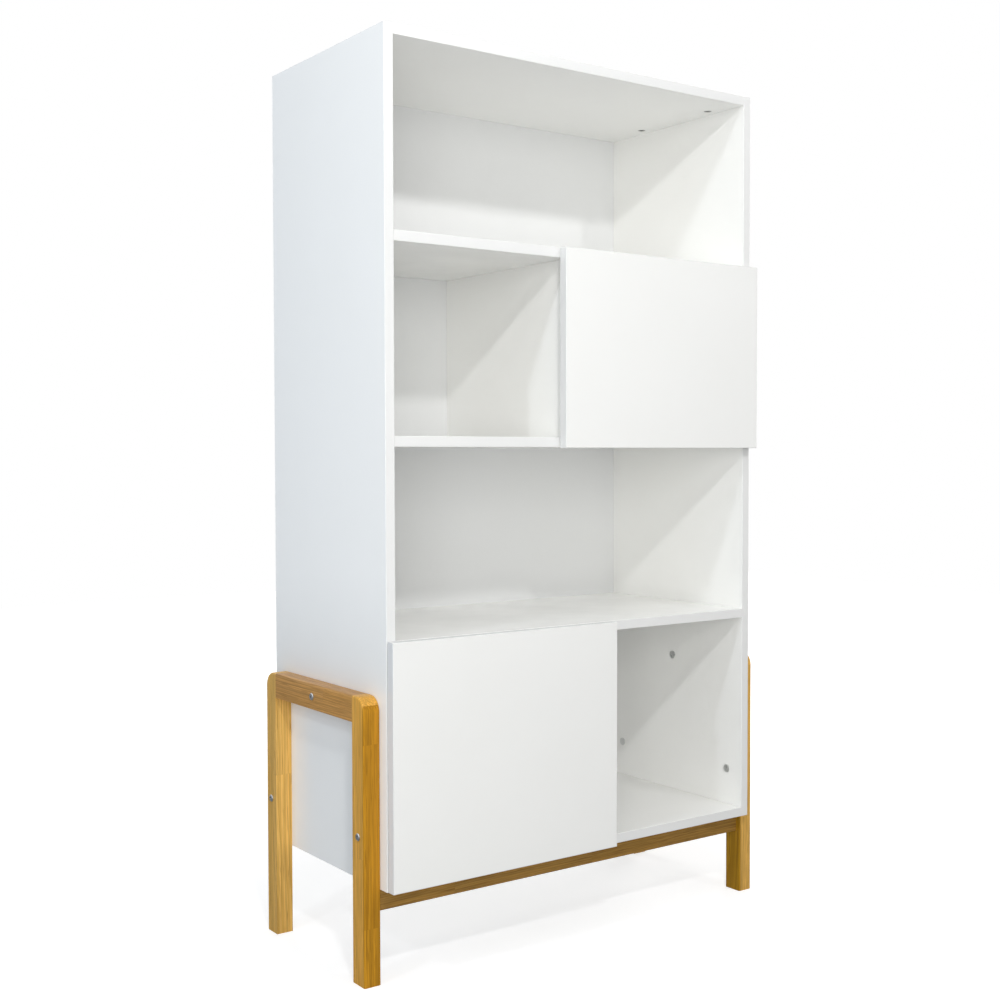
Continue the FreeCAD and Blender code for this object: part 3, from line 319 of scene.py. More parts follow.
def make_band_edges():
    """Where a board's edge strips are, where they meet its face, and how near its edges are."""
    graph, given, made = new_effect(
        "band_edges",
        {
            "Place": PLACE,
            "Normal": (VECTOR, (0.0, 0.0, 1.0)),
            "Low Corner": (VECTOR, (0.0, 0.0, 0.0)),
            "High Corner": (VECTOR, (1.0, 1.0, 1.0)),
            "Broad Axis": (VECTOR, (0.0, 0.0, 1.0)),
            "Strip": (FLOAT, 0.001),
            "Line": (FLOAT, 0.0002),
        },
        {"Joint": FLOAT, "Edge": FLOAT, "Strip Face": FLOAT},
    )
    low = graph.vector("SUBTRACT", given["Place"], given["Low Corner"])
    high = graph.vector("SUBTRACT", given["High Corner"], given["Place"])
    x, y, z = graph.split(graph.vector("MINIMUM", low, high))
    # The middle one of the three distances, because the smallest is to the broad face itself
    edge = graph.higher(graph.lower(x, y), graph.lower(graph.higher(x, y), z))
    square = graph.math("ABSOLUTE", graph.dot(given["Normal"], given["Broad Axis"]))
    broad = graph.math("GREATER_THAN", square, BROAD_FACING)
    off = graph.math("ABSOLUTE", graph.minus(edge, given["Strip"]))
    line = graph.math("LESS_THAN", off, given["Line"])
    worn = graph.times(given["Strip"], WORN_STRIPS)
    graph.put(made["Joint"], graph.times(line, broad))
    graph.put(made["Edge"], graph.span(edge, 0.0, worn, 1.0, 0.0, "SMOOTHSTEP"))
    graph.put(made["Strip Face"], graph.minus(1.0, broad))


def make_foil_texture():
    """The fine pearl of a pressed foil or painted face: a height, and a mottling of its gloss."""
    graph, given, made = new_effect(
        "foil_texture",
        {"Place": PLACE, "Pearl": (FLOAT, 900.0), "Cloud": (FLOAT, 6.0)},
        {"Height": FLOAT, "Mottling": FLOAT},
    )
    pearl = graph.noise(given["Place"], given["Pearl"], detail=2.0, roughness=0.6)["Fac"]
    cloud = graph.noise(given["Place"], given["Cloud"], detail=3.0, roughness=0.55)["Fac"]
    graph.put(made["Height"], pearl)
    graph.put(made["Mottling"], graph.span(cloud, *CLOUD_BAND))


def make_staves():
    """Lengths of timber glued side by side and end to end, with the grain along Z.

    Each has a tone and a shift of its own, and there is a mask of the joints between them.
    """
    graph, given, made = new_effect(
        "staves",
        {
            "Place": PLACE,
            "Width": (FLOAT, 0.02),
            "Length": (FLOAT, 0.3),
            "Joint": (FLOAT, 0.0002),
        },
        {"Tone": FLOAT, "Shift": VECTOR, "Joints": FLOAT},
    )

    def to_joint(turns, size):
        """Distance to the nearest joint, where a joint stands at each whole turn."""
        return graph.times(graph.math("PINGPONG", turns, 0.5), size)

    x, y, z = graph.split(given["Place"])
    across = graph.over(y, given["Width"])
    column = graph.math("FLOOR", across)
    layer = graph.math("FLOOR", graph.over(x, STAVE_DEPTH))
    stagger = graph.times(graph.chance(column, layer, 0.5)["Value"], STAGGER)
    run = graph.plus(graph.over(z, given["Length"]), stagger)
    row = graph.math("FLOOR", run)
    stave = graph.chance(column, row, layer)
    from_end = to_joint(graph.minus(run, row), given["Length"])
    from_side = to_joint(across, given["Width"])
    near = graph.lower(from_end, from_side)
    graph.put(made["Tone"], stave["Value"])
    graph.put(made["Shift"], graph.vector("MULTIPLY", stave["Color"], GRAIN_SHIFT))
    graph.put(made["Joints"], graph.span(near, 0.0, given["Joint"], 1.0, 0.0))


def make_wood_grain():
    """Growth rings cut along Z, with fibres, streaks and open pores.

    Each of the four has a mask, and fibres and pores share a height.
    """
    graph, given, made = new_effect(
        "wood_grain",
        {
            "Place": PLACE,
            "Ring": (FLOAT, 0.004),
            "Waviness": (FLOAT, 0.006),
            "Fibre": (FLOAT, 0.0006),
        },
        {"Rings": FLOAT, "Fibres": FLOAT, "Streaks": FLOAT, "Pores": FLOAT, "Height": FLOAT},
    )
    slow = graph.vector("MULTIPLY", given["Place"], GRAIN_BENDS)
    bend = graph.noise(slow, 1.0, detail=2.0, roughness=0.5)["Color"]
    push = graph.vector("SCALE", graph.vector("SUBTRACT", bend, (0.5, 0.5, 0.5)))
    graph.put(push.node.inputs["Scale"], graph.times(given["Waviness"], BEND_PUSH))
    bent = graph.vector("ADD", given["Place"], push)

    x, y, z = graph.split(bent)
    squares = []
    for side, lean, heart in zip((x, y), RING_LEAN, HEART):
        from_heart = graph.plus(graph.plus(side, graph.times(z, lean)), heart)
        squares.append(graph.math("POWER", from_heart, 2.0))
    radius = graph.math("SQRT", graph.plus(*squares))
    early = graph.math("FRACT", graph.over(radius, given["Ring"]))

    fineness = graph.over(1.0, given["Fibre"])
    fine = graph.vector("MULTIPLY", bent, FIBRE_SHAPE)
    fibres = graph.noise(fine, fineness, detail=3.0, roughness=0.6)["Fac"]
    streak_scale = graph.times(fineness, STREAK_FINENESS)
    streaks = graph.noise(fine, streak_scale, detail=2.0, roughness=0.55)["Fac"]
    longer = graph.vector("MULTIPLY", bent, PORE_SHAPE)
    pore_scale = graph.times(fineness, PORE_FINENESS)
    spots = graph.noise(longer, pore_scale, detail=1.0, roughness=0.4)["Fac"]
    thinning = graph.span(early, *THINNING_BAND, 1.0, LATE_PORES)
    pores = graph.times(graph.span(spots, *PORE_BAND), thinning)

    graph.put(made["Rings"], graph.math("POWER", early, LATE_WOOD))
    graph.put(made["Fibres"], graph.span(fibres, *FIBRE_BAND))
    graph.put(made["Streaks"], graph.span(streaks, *STREAK_BAND))
    graph.put(made["Pores"], pores)
    graph.put(made["Height"], graph.minus(graph.times(fibres, FIBRE_RELIEF), pores))


def make_plated_texture():
    """A plated or cast skin: a mottling of its gloss, a height, and rubbed high spots."""
    graph, given, made = new_effect(
        "plated_texture",
        {"Place": PLACE, "Grain": (FLOAT, 1500.0), "Rub": (FLOAT, 260.0)},
        {"Mottling": FLOAT, "Height": FLOAT, "Rubbed": FLOAT},
    )
    grain = graph.noise(given["Place"], given["Grain"], detail=3.0, roughness=0.6)["Fac"]
    rub = graph.noise(given["Place"], given["Rub"], detail=2.0, roughness=0.5)["Fac"]
    graph.put(made["Mottling"], graph.span(rub, *CLOUD_BAND))
    graph.put(made["Height"], grain)
    graph.put(made["Rubbed"], graph.span(rub, *RUBBED_BAND))


EFFECTS = (
    make_band_edges,
    make_foil_texture,
    make_staves,
    make_wood_grain,
    make_plated_texture,
)


# Materials


def new_material(name, colour):
    """Start a material with the Principled shader.

    It comes back as the material, its graph, the shader and the part's own coordinates.
    """
    material = bpy.data.materials.new(name)
    material.use_nodes = True
    material.diffuse_color = (*colour, 1.0)
    graph = Graph(material.node_tree)
    shader = material.node_tree.nodes["Principled BSDF"]
    place = graph.add("ShaderNodeTexCoord", {}).outputs
    return material, graph, shader, place


def dress(nodes, material):
    """Give CAD nodes their finished material in place of the plain one."""
    for node in nodes:
        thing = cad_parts[node]
        for index in range(len(thing.material_slots)):
            thing.material_slots[index].material = material


def along_grain(graph, place, axis):
    """The part's own coordinates, turned so that the axis along the piece becomes Z."""
    node = graph.add(
        "ShaderNodeMapping", {"Vector": place["Object"], "Rotation": GRAIN_TURNS[axis]}
    )
    return node.outputs["Vector"]


def board_material(node, axis, finish, colour, cloud_colour):
    """White foil on a board, with strips along that board's own edges in a darker white that
    paints shade on them.
    """
    material, graph, shader, place = new_material("foil_on_" + node, colour)
    low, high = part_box(node)
    edges = graph.effect(
        "band_edges",
        {
            "Place": place["Object"],
            "Normal": place["Normal"],
            "Low Corner": low,
            "High Corner": high,
            "Broad Axis": Vector([letter == axis for letter in "XYZ"]),
            "Strip": finish.strip,
            "Line": finish.strip_line,
        },
    )
    foil = graph.effect("foil_texture", {"Place": place["Object"], "Pearl": 1.0 / finish.pearl})
    shade = graph.blend(foil["Mottling"], colour, cloud_colour)
    # Painted shade: the edge faces take the strips' darker white
    shade = graph.blend(edges["Strip Face"], shade, finish.strip_shade_colour)
    glue = graph.times(edges["Joint"], GLUE_LINE_SHARE)
    shade = graph.blend(glue, shade, finish.joint_colour)
    even = graph.between(
        foil["Mottling"], *(finish.roughness + extra for extra in ROUGHNESS_SPREAD)
    )
    dullness = graph.plus(even, graph.times(edges["Edge"], WORN_DULLNESS))
    normal = graph.bump(foil["Height"], strength=0.08, depth=FOIL_DEPTH)
    graph.fill(
        shader,
        {
            "Base Color": shade,
            "Roughness": dullness,
            "Specular IOR Level": finish.sheen,
            "Normal": normal,
        },
    )
    return material


def back_material(finish):
    """Painted fibreboard: smoother in front, with the print of the press screen behind."""
    material, graph, shader, place = new_material("painted_back_board", finish.back_colour)
    foil = graph.effect(
        "foil_texture", {"Place": place["Object"], "Pearl": 1.0 / finish.pearl, "Cloud": 4.0}
    )
    behind = graph.math("GREATER_THAN", graph.dot(place["Normal"], (0.0, 1.0, 0.0)), 0.5)
    screen = graph.add(
        "ShaderNodeTexChecker", {"Vector": place["Object"], "Scale": 1.0 / finish.screen}
    ).outputs["Fac"]
    front = graph.blend(foil["Mottling"], finish.back_colour, finish.back_cloud_colour)
    rear = graph.blend(foil["Mottling"], finish.rear_colour, finish.rear_cloud_colour)
    print_height = graph.times(graph.times(screen, behind), PRINT_RELIEF)
    height = graph.plus(foil["Height"], print_height)
    normal = graph.bump(height, strength=0.12, depth=FOIL_DEPTH)
    shade = graph.blend(behind, front, rear)
    dullness = graph.between(behind, at_none=0.5, at_full=0.75)
    graph.fill(shader, {"Base Color": shade, "Roughness": dullness, "Normal": normal})
    return material


def oak_material(name, axis, finish, tint=WHITE, layer=None):
    """Lacquered oak glued up from staves, with the grain along the piece.

    A layer is a darker one: the axis that it faces, where its face lies, and its tint. On the left
    front post it is a darker lamella of the timber; on the right front post it is painted shade
    from the case above, and partly darker timber.
    """
    material, graph, shader, place = new_material(name, finish.colour)
    along = along_grain(graph, place, axis)
    staves = graph.effect(
        "staves", {"Place": along, "Width": finish.stave_width, "Length": finish.stave_length}
    )
    shifted = graph.vector("ADD", along, staves["Shift"])
    grain = graph.effect(
        "wood_grain", {"Place": shifted, "Ring": finish.ring, "Fibre": finish.fibre}
    )
    shade = graph.blend(staves["Tone"], finish.light_colour, finish.colour)
    shade = graph.blend(graph.times(grain["Rings"], RING_SHARE), shade, finish.ring_colour)
    fibre = graph.between(grain["Fibres"], *FIBRE_TONES)
    fibre = graph.times(fibre, graph.between(grain["Streaks"], *STREAK_TONES))
    shade = graph.tinted(shade, graph.join(fibre, fibre, fibre))
    shade = graph.blend(graph.times(grain["Pores"], PORE_SHARE), shade, finish.pore_colour)
    joints = graph.times(staves["Joints"], STAVE_JOINT_SHARE)
    shade = graph.blend(joints, shade, finish.pore_colour)
    shade = graph.tinted(shade, tint)
    if layer is not None:
        facing, face, layer_tint = layer
        depth = graph.minus(graph.split(place["Object"])[facing], face)
        within = graph.math("LESS_THAN", depth, finish.layer)
        shade = graph.blend(within, shade, graph.tinted(shade, layer_tint))
    dull = finish.roughness + DULL_LACQUER
    dullness = graph.between(grain["Fibres"], dull, finish.roughness)
    normal = graph.bump(grain["Height"], strength=0.25, depth=WOOD_DEPTH)
    graph.fill(
        shader,
        {
            "Base Color": shade,
            "Roughness": dullness,
            "Specular IOR Level": finish.sheen,
            "Coat Weight": finish.lacquer,
            "Coat Roughness": 0.22,
            "Normal": normal,
        },
    )
    return material


def beech_material(finish):
    """Plain turned beech, with short dark flecks along the dowel."""
    material, graph, shader, place = new_material("turned_beech", finish.beech_colour)
    along = along_grain(graph, place, "X")
    grain = graph.effect("wood_grain", {"Place": along, "Ring": 0.002, "Fibre": 0.0004})
    shade = graph.blend(grain["Fibres"], finish.beech_colour, finish.beech_fleck_colour)
    shade = graph.blend(grain["Pores"], shade, finish.pore_colour)
    dullness = graph.between(grain["Fibres"], at_none=0.55, at_full=0.7)
    normal = graph.bump(grain["Height"], strength=0.2, depth=WOOD_DEPTH)
    graph.fill(shader, {"Base Color": shade, "Roughness": dullness, "Normal": normal})
    return material


def metal_material(name, colour, rubbed_colour, smooth, rough, grain, relief):
    """Plated or cast metal with a mottled gloss and rubbed high spots."""
    material, graph, shader, place = new_material(name, colour)
    skin = graph.effect("plated_texture", {"Place": place["Object"], "Grain": grain})
    shade = graph.blend(skin["Rubbed"], colour, rubbed_colour)
    dullness = graph.between(skin["Mottling"], smooth, rough)
    normal = graph.bump(skin["Height"], strength=relief, depth=PLATE_DEPTH)
    graph.fill(
        shader, {"Base Color": shade, "Roughness": dullness, "Metallic": 1.0, "Normal": normal}
    )
    return material


def bumper_material(finish):
    """Soft clear plastic with a slightly greyed skin."""
    material, graph, shader, place = new_material("clear_soft_bumper", finish.bumper_colour)
    skin = graph.effect(
        "foil_texture", {"Place": place["Object"], "Pearl": 2500.0, "Cloud": 300.0}
    )
    shade = graph.blend(skin["Mottling"], finish.bumper_colour, finish.bumper_cloud_colour)
    dullness = graph.between(skin["Mottling"], at_none=0.18, at_full=0.3)
    normal = graph.bump(skin["Height"], strength=0.05, depth=BUMPER_DEPTH)
    graph.fill(
        shader,
        {
            "Base Color": shade,
            "Roughness": dullness,
            "IOR": 1.48,
            "Transmission Weight": 0.6,
            "Normal": normal,
        },
    )
    return material


# Settings


def colour_setting(name, description, default):
    return bpy.props.FloatVectorProperty(
        name=name,
        description=description,
        default=default,
        subtype="COLOR",
        size=3,
        min=0.0,
        max=1.0,
    )


def length_setting(name, description, default):
    return bpy.props.FloatProperty(
        name=name, description=description, default=default, unit="LENGTH", precision=5
    )


def share_setting(name, description, default):
    return bpy.props.FloatProperty(
        name=name, description=description, default=default, subtype="FACTOR", min=0.0, max=1.0
    )


class BoardFinish(bpy.types.PropertyGroup):
    """Finish of the white boards, the doors, the back and the bumpers"""

    colour: colour_setting("Foil", "White of the boards", (0.958, 0.957, 0.938))
    cloud_colour: colour_setting(
        "Foil, cloudy", "The white where the foil is a shade duller", (0.948, 0.947, 0.926)
    )
    # Painted shade: the doors are the same foil as the boards, given a deeper white so that their
    # fronts stand darker than the lamps alone make them
    painted_shade_door_colour: colour_setting(
        "Doors", "White of the doors, a shade deeper", (0.86, 0.861, 0.85)
    )
    painted_shade_door_cloud_colour: colour_setting(
        "Doors, cloudy", "The doors' white where it is a shade duller", (0.85, 0.851, 0.838)
    )
    # Painted shade: the edge strips take a darker white than the foil, so that the edges stand
    # darker than the lamps alone make them
    strip_shade_colour: colour_setting(
        "Edge strips", "White of the strips glued to the edges", (0.785, 0.787, 0.784)
    )
    joint_colour: colour_setting(
        "Glue line", "Line where the edge strip meets the face", (0.42, 0.42, 0.41)
    )
    back_colour: colour_setting(
        "Back", "Painted front of the back panel", (0.85, 0.856, 0.86)
    )
    back_cloud_colour: colour_setting(
        "Back, cloudy", "The paint where it is a shade duller", (0.838, 0.844, 0.845)
    )
    rear_colour: colour_setting("Rear", "Rear face of the back panel", (0.72, 0.715, 0.7))
    rear_cloud_colour: colour_setting(
        "Rear, cloudy", "Rear face where the paint is thin", (0.66, 0.65, 0.625)
    )
    bumper_colour: colour_setting(
        "Bumpers", "Clear plastic of the door bumpers", (0.85, 0.86, 0.86)
    )
    bumper_cloud_colour: colour_setting(
        "Bumpers, cloudy", "The plastic where its skin is dull", (0.75, 0.76, 0.76)
    )
    roughness: share_setting("Roughness", "Dullness of the foil", 0.2)
    sheen: share_setting("Gloss", "Strength of the foil's reflection", 0.5)
    strip: length_setting("Edge strip", "Thickness of the strip glued to the edges", 0.001)
    strip_line: length_setting("Glue line", "Half the width of the line beside the strip", 0.00012)
    pearl: length_setting("Pearl", "Size of the foil's pressed grain", 0.0011)
    screen: length_setting("Screen", "Spacing of the press print behind the back panel", 0.0016)


class OakFinish(bpy.types.PropertyGroup):
    """Finish of the oak frames and the dowels"""

    colour: colour_setting("Oak", "Darker staves", (0.72, 0.42, 0.1))
    light_colour: colour_setting("Oak, light", "Lighter staves", (0.78, 0.475, 0.135))
    left_post_colour: colour_setting(
        "Left front post", "Tint of the redder timber of the left front post", (1.0, 0.89, 0.62)
    )
    front_colour: colour_setting(
        "Front layer", "Tint of the darker front of the left front post", (0.68, 0.61, 0.21)
    )
    # Painted shade, and partly darker timber: the inner face of the right front post lies in the
    # shade of the case above, and this tint darkens it
    inner_shade_colour: colour_setting(
        "Inner layer", "Tint of the darker inner face of the right front post", (0.54, 0.48, 0.12)
    )
    rail_colour: colour_setting(
        "Rails", "Tint of the browner timber of the rails", (0.75, 0.665, 0.78)
    )
    # Painted shade: the stretcher lies in the shade under the case and the lower door, and this
    # tint darkens its oak to stand in for that shade
    stretcher_shade_colour: colour_setting(
        "Stretcher", "Tint of the dark timber of the front stretcher", (0.5, 0.465, 0.42)
    )
    ring_colour: colour_setting("Rings", "Late wood of the growth rings", (0.56, 0.3, 0.055))
    pore_colour: colour_setting("Pores", "Open pores and joints", (0.2, 0.09, 0.016))
    beech_colour: colour_setting("Beech", "Wood of the dowels", (0.52, 0.33, 0.17))
    beech_fleck_colour: colour_setting(
        "Beech flecks", "Darker flecks of the dowels", (0.42, 0.25, 0.12)
    )
    roughness: share_setting("Roughness", "Dullness of the lacquer", 0.36)
    sheen: share_setting("Gloss", "Strength of the wood's reflection", 0.14)
    lacquer: share_setting("Lacquer", "Weight of the clear coat", 0.1)
    stave_width: length_setting("Stave width", "Width of the glued staves", 0.021)
    stave_length: length_setting("Stave length", "Length of the glued staves", 0.31)
    ring: length_setting("Ring spacing", "Distance from one growth ring to the next", 0.0034)
    # The darker layer is timber on the left front post, and painted shade with partly darker
    # timber on the right one
    layer: length_setting("Darker layer", "Depth of the darker layer on the front posts", 0.003)
    fibre: length_setting("Fibre", "Width of the wood's fibres", 0.0008)


class MetalFinish(bpy.types.PropertyGroup):
    """Finish of the bolts, cam fittings and hinges"""

    zinc: colour_setting("Zinc plate", "Frame bolts and cam bolts", (0.54, 0.56, 0.58))
    zinc_rubbed: colour_setting(
        "Zinc plate, rubbed", "High spots of the zinc plate", (0.68, 0.69, 0.7)
    )
    nut: colour_setting(
        "Sleeve nuts", "Bright plate of the sleeve nuts inside the case", (0.71, 0.72, 0.71)
    )
    nut_rubbed: colour_setting(
        "Sleeve nuts, rubbed", "High spots of the bright plate", (0.8, 0.8, 0.79)
    )
    cast: colour_setting("Cast zinc", "Cam housings", (0.32, 0.32, 0.31))
    cast_rubbed: colour_setting(
        "Cast zinc, rubbed", "High spots of the cast zinc", (0.44, 0.44, 0.43)
    )
    nickel: colour_setting("Nickel plate", "Hinges and their screws", (0.66, 0.64, 0.6))
    nickel_rubbed: colour_setting(
        "Nickel plate, rubbed", "High spots of the nickel plate", (0.76, 0.74, 0.7)
    )


class StudioSettings(bpy.types.PropertyGroup):
    """Camera, floor and surroundings"""

    lens: bpy.props.FloatProperty(
        name="Lens",
        description="Focal length of the camera",
        default=49.446,
        subtype="DISTANCE_CAMERA",
    )
    camera_place: bpy.props.FloatVectorProperty(
        name="Camera",
        description="Place of the camera",
        default=(-1.5866, -2.1449, 0.8926),
        subtype="TRANSLATION",
        size=3,
    )
    camera_turn: bpy.props.FloatVectorProperty(
        name="Camera turn",
        description="Turn to the right, tip up, and roll of the camera",
        default=(0.6206, -0.0334, -0.002),
        subtype="EULER",
        size=3,
    )
    floor_colour: colour_setting("Floor", "Plain pale floor", (0.55, 0.55, 0.55))
    mirrored_floor_colour: colour_setting(
        "Floor, mirrored", "The floor as the glossy foil reflects it", (0.28, 0.28, 0.28)
    )
    floor_lift: share_setting(
        "Floor lift", "How far the floor beside the object is lifted to white for the camera", 0.62
    )
    sky: bpy.props.FloatProperty(
        name="Sky light",
        description="Strength of the even light from all round",
        default=0.15,
        min=0.0,
    )


# Operators


class StepOperator:
    """What every step of this add-on shares."""

    bl_options = {"REGISTER", "UNDO"}


class BOOKCASE_OT_effects(StepOperator, bpy.types.Operator):
    """Build the effects that several finishes share"""

    bl_idname = "bookcase.effects"
    bl_label = "Shared effects"

    def execute(self, context):
        for make in EFFECTS:
            make()
        return {"FINISHED"}


class BOOKCASE_OT_boards(StepOperator, bpy.types.Operator):
    """Finish the sides, top, bottom, shelves and partitions in white foil"""

    bl_idname = "bookcase.boards"
    bl_label = "Case boards"

    def execute(self, context):
        finish = context.scene.board_finish
        for node, axis in BOARDS.items():
            foil = board_material(node, axis, finish, finish.colour, finish.cloud_colour)
            dress([node], foil)
        return {"FINISHED"}


class BOOKCASE_OT_doors(StepOperator, bpy.types.Operator):
    """Finish the two doors in the foil, in a deeper white that paints shade on their fronts"""

    bl_idname = "bookcase.doors"
    bl_label = "Doors"

    def execute(self, context):
        finish = context.scene.board_finish
        # The doors' deeper white is painted shade on their fronts
        colours = (finish.painted_shade_door_colour, finish.painted_shade_door_cloud_colour)
        for node, axis in DOORS.items():
            dress([node], board_material(node, axis, finish, *colours))
        return {"FINISHED"}


class BOOKCASE_OT_back(StepOperator, bpy.types.Operator):
    """Finish the thin back panel"""

    bl_idname = "bookcase.back"
    bl_label = "Back panel"

    def execute(self, context):
        dress(["back_panel"], back_material(context.scene.board_finish))
        return {"FINISHED"}


class BOOKCASE_OT_oak_frames(StepOperator, bpy.types.Operator):
    """Finish the posts, top rails and stretcher in lacquered oak"""

    bl_idname = "bookcase.oak_frames"
    bl_label = "Oak frames"

    def execute(self, context):
        finish = context.scene.oak_finish
        dress(REAR_POSTS, oak_material("oak_posts", "Z", finish))
        front = ("Y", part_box("left_front_post")[0].y, finish.front_colour)
        left = oak_material("oak_left_front_post", "Z", finish, finish.left_post_colour, front)
        dress(["left_front_post"], left)
        # The inner face of the right front post gets painted shade from the case above, and partly
        # darker timber
        inner = ("X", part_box("right_front_post")[0].x, finish.inner_shade_colour)
        right = oak_material("oak_right_front_post", "Z", finish, layer=inner)
        dress(["right_front_post"], right)
        dress(TOP_RAILS, oak_material("oak_rails", "Y", finish, finish.rail_colour))
        # The stretcher's tint is painted shade from the case above
        stretcher = oak_material("oak_stretcher", "X", finish, finish.stretcher_shade_colour)
        dress(["front_stretcher"], stretcher)
        return {"FINISHED"}


class BOOKCASE_OT_dowels(StepOperator, bpy.types.Operator):
    """Finish the beech dowels inside the joints"""

    bl_idname = "bookcase.dowels"
    bl_label = "Dowels"

    def execute(self, context):
        dress(BEECH_DOWELS, beech_material(context.scene.oak_finish))
        return {"FINISHED"}


class BOOKCASE_OT_bolts(StepOperator, bpy.types.Operator):
    """Finish the frame bolts, their sleeve nuts and the cam bolts"""

    bl_idname = "bookcase.bolts"
    bl_label = "Bolts and nuts"

    def execute(self, context):
        metal = context.scene.metal_finish
        plated = metal_material(
            "zinc_plate",
            metal.zinc,
            metal.zinc_rubbed,
            smooth=0.24,
            rough=0.36,
            grain=1800.0,
            relief=0.15,
        )
        dress(PLATED_BOLTS, plated)
        bright = metal_material(
            "bright_sleeve_nuts",
            metal.nut,
            metal.nut_rubbed,
            smooth=0.3,
            rough=0.45,
            grain=1800.0,
            relief=0.15,
        )
        dress(["frame_sleeve_nuts"], bright)
        return {"FINISHED"}


class BOOKCASE_OT_cams(StepOperator, bpy.types.Operator):
    """Finish the cast cam housings of the top and the bottom"""

    bl_idname = "bookcase.cams"
    bl_label = "Cam housings"

    def execute(self, context):
        metal = context.scene.metal_finish
        cast = metal_material(
            "cast_zinc",
            metal.cast,
            metal.cast_rubbed,
            smooth=0.38,
            rough=0.55,
            grain=1100.0,
            relief=0.5,
        )
        dress(["cam_housings"], cast)
        return {"FINISHED"}


class BOOKCASE_OT_hinges(StepOperator, bpy.types.Operator):
    """Finish the concealed hinges, their pins and their screws"""

    bl_idname = "bookcase.hinges"
    bl_label = "Cup hinges"

    def execute(self, context):
        metal = context.scene.metal_finish
        pressed = metal_material(
            "pressed_nickel_plate",
            metal.nickel,
            metal.nickel_rubbed,
            smooth=0.2,
            rough=0.32,
            grain=1500.0,
            relief=0.2,
        )
        dress(PRESSED_HINGE_PARTS, pressed)
        turned = metal_material(
            "turned_nickel_plate",
            metal.nickel,
            metal.nickel_rubbed,
            smooth=0.26,
            rough=0.4,
            grain=2600.0,
            relief=0.3,
        )
        dress(HINGE_PINS + HINGE_SCREWS, turned)
        return {"FINISHED"}


class BOOKCASE_OT_bumpers(StepOperator, bpy.types.Operator):
    """Finish the clear bumpers behind the doors' free corners"""

    bl_idname = "bookcase.bumpers"
    bl_label = "Door bumpers"

    def execute(self, context):
        dress(BUMPERS, bumper_material(context.scene.board_finish))
        return {"FINISHED"}


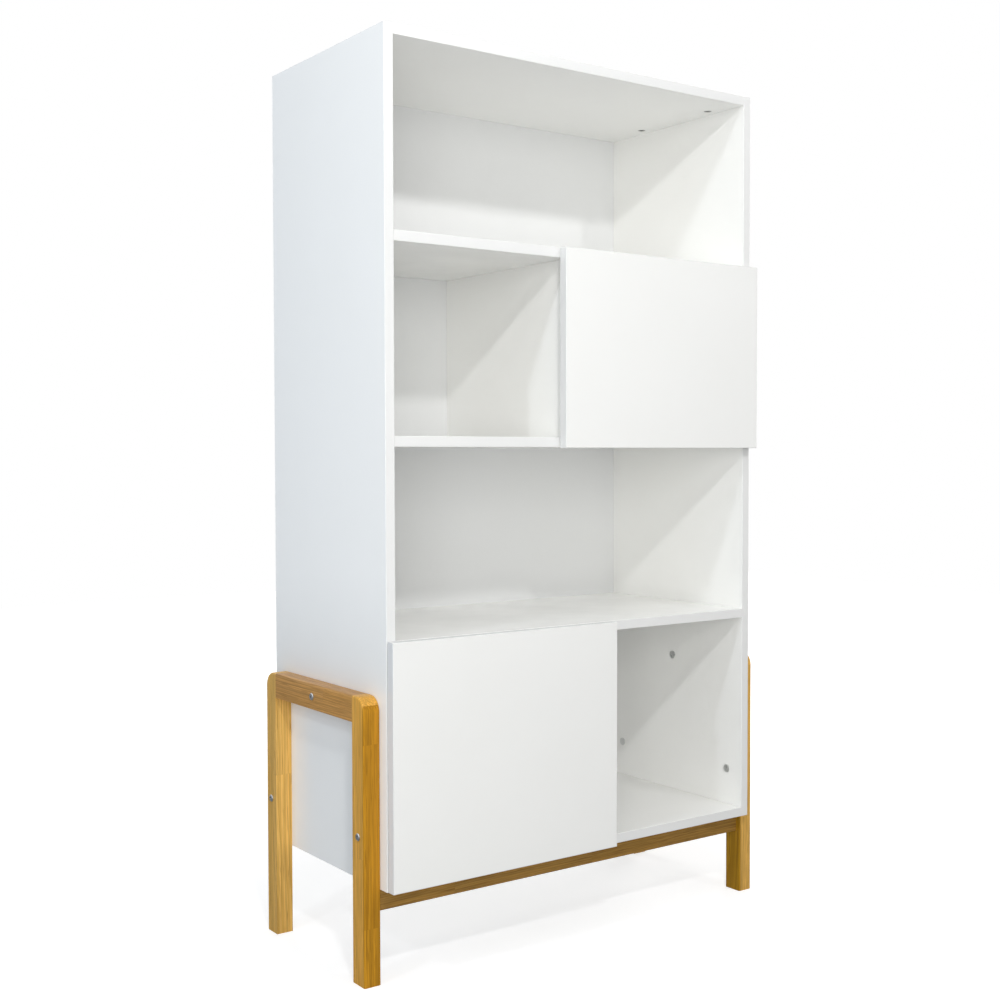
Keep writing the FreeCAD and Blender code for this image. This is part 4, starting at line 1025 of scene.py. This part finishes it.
class BOOKCASE_OT_studio(StepOperator, bpy.types.Operator):
    """Set up the camera, the soft lamps, the floor and the white surroundings"""

    bl_idname = "bookcase.studio"
    bl_label = "Studio"

    def execute(self, context):
        scene = context.scene
        studio = scene.studio_settings
        self.put_camera(scene, studio)
        self.put_lamps(scene)
        self.put_sky(scene, studio)
        self.put_floor(scene, studio)
        scene.view_settings.view_transform = "Standard"
        return {"FINISHED"}

    def put_camera(self, scene, studio):
        data = bpy.data.cameras.new("studio_camera")
        data.lens = studio.lens
        data.sensor_width = FILM_WIDTH
        data.clip_start = NEAREST
        data.clip_end = FARTHEST
        camera = bpy.data.objects.new("studio_camera", data)
        scene.collection.objects.link(camera)
        turn, tip, roll = studio.camera_turn
        level = math.cos(tip)
        ahead = Vector((math.sin(turn) * level, math.cos(turn) * level, math.sin(tip)))
        side = Vector((math.cos(turn), -math.sin(turn), 0.0))
        up = side.cross(ahead)
        rolled_side = side * math.cos(roll) + up * math.sin(roll)
        rolled_up = up * math.cos(roll) - side * math.sin(roll)
        facing = Matrix((rolled_side, rolled_up, -ahead)).transposed().to_4x4()
        camera.matrix_world = Matrix.Translation(studio.camera_place) @ facing
        scene.camera = camera

    def put_lamps(self, scene):
        for name, (place, target, size, power, colour) in SOFT_LAMPS.items():
            data = bpy.data.lights.new(name, "AREA")
            data.shape = "SQUARE"
            data.size = size
            data.energy = power
            data.color = colour
            lamp = bpy.data.objects.new(name, data)
            scene.collection.objects.link(lamp)
            lamp.location = place
            lamp.visible_glossy = name not in UNMIRRORED_LAMPS
            away = Vector(place) - Vector(target)
            lamp.rotation_euler = away.to_track_quat("Z", "Y").to_euler()

    def put_sky(self, scene, studio):
        """White wherever the camera, a mirror or clear plastic sees it, and an even soft light."""
        world = bpy.data.worlds.new("white_studio")
        world.use_nodes = True
        graph = Graph(world.node_tree)
        ray = graph.add("ShaderNodeLightPath", {}).outputs
        seen = graph.higher(ray["Is Glossy Ray"], ray["Is Transmission Ray"])
        seen = graph.higher(ray["Is Camera Ray"], seen)
        light, white = (
            graph.add("ShaderNodeBackground", {"Color": WHITE, "Strength": strength})
            for strength in (studio.sky, 1.0)
        )
        mixed = graph.add(
            "ShaderNodeMixShader",
            {0: seen, 1: light.outputs["Background"], 2: white.outputs["Background"]},
        )
        surface = world.node_tree.nodes["World Output"].inputs["Surface"]
        graph.put(surface, mixed.outputs["Shader"])
        scene.world = world

    def put_floor(self, scene, studio):
        mesh = bpy.data.meshes.new("studio_floor")
        reach = FLOOR_REACH
        corners = [(-reach, -reach), (reach, -reach), (reach, reach), (-reach, reach)]
        mesh.from_pydata([(x, y, 0.0) for x, y in corners], [], [(0, 1, 2, 3)])
        floor = bpy.data.objects.new("studio_floor", mesh)
        scene.collection.objects.link(floor)
        mesh.materials.append(self.floor_material(studio))

    def floor_material(self, studio):
        """Pale floor that the camera sees as white, apart from the object's shadow close by."""
        material = bpy.data.materials.new("pale_floor")
        material.use_nodes = True
        material.diffuse_color = (*studio.floor_colour, 1.0)
        graph = Graph(material.node_tree)
        ray = graph.add("ShaderNodeLightPath", {}).outputs
        colour = graph.blend(
            ray["Is Glossy Ray"], studio.floor_colour, studio.mirrored_floor_colour
        )
        matt = graph.add("ShaderNodeBsdfDiffuse", {"Color": colour}).outputs["BSDF"]
        place = graph.add("ShaderNodeTexCoord", {}).outputs["Object"]
        away = graph.math("SQRT", graph.dot(place, place))
        lift = graph.span(away, *LIFT_DISTANCES, studio.floor_lift, 1.0)
        seen = graph.higher(ray["Is Camera Ray"], ray["Is Transmission Ray"])
        far_glow = graph.span(away, *MIRRORED_GLOW_DISTANCES, 0.0, MIRRORED_GLOW)
        mirrored = graph.times(ray["Is Glossy Ray"], far_glow)
        strength = graph.plus(graph.times(seen, lift), mirrored)
        glow = graph.add("ShaderNodeEmission", {"Strength": strength}).outputs["Emission"]
        both = graph.add("ShaderNodeAddShader", {0: matt, 1: glow}).outputs["Shader"]
        graph.put(material.node_tree.nodes["Material Output"].inputs["Surface"], both)
        return material


SETTINGS = {
    "board_finish": BoardFinish,
    "oak_finish": OakFinish,
    "metal_finish": MetalFinish,
    "studio_settings": StudioSettings,
}
STEPS = (
    BOOKCASE_OT_effects,
    BOOKCASE_OT_boards,
    BOOKCASE_OT_doors,
    BOOKCASE_OT_back,
    BOOKCASE_OT_oak_frames,
    BOOKCASE_OT_dowels,
    BOOKCASE_OT_bolts,
    BOOKCASE_OT_cams,
    BOOKCASE_OT_hinges,
    BOOKCASE_OT_bumpers,
    BOOKCASE_OT_studio,
)


class BOOKCASE_PT_panel(bpy.types.Panel):
    """The bookcase's settings and steps"""

    bl_idname = "BOOKCASE_PT_panel"
    bl_label = "Bookcase"
    bl_space_type = "VIEW_3D"
    bl_region_type = "UI"
    bl_category = TAB

    def draw(self, context):
        for key, group in SETTINGS.items():
            box = self.layout.box()
            for setting in group.__annotations__:
                box.prop(getattr(context.scene, key), setting)
        for step in STEPS:
            self.layout.operator(step.bl_idname)


def register():
    for group in SETTINGS.values():
        bpy.utils.register_class(group)
    for key, group in SETTINGS.items():
        setattr(bpy.types.Scene, key, bpy.props.PointerProperty(type=group))
    for step in STEPS:
        bpy.utils.register_class(step)
    bpy.utils.register_class(BOOKCASE_PT_panel)


def unregister():
    bpy.utils.unregister_class(BOOKCASE_PT_panel)
    for step in reversed(STEPS):
        bpy.utils.unregister_class(step)
    for key in SETTINGS:
        delattr(bpy.types.Scene, key)
    for group in reversed(SETTINGS.values()):
        bpy.utils.unregister_class(group)


def main():
    """Register the add-on and run its steps in order."""
    register()
    for step in STEPS:
        group, name = step.bl_idname.split(".")
        getattr(getattr(bpy.ops, group), name)()


if __name__ == "__main__":
    main()
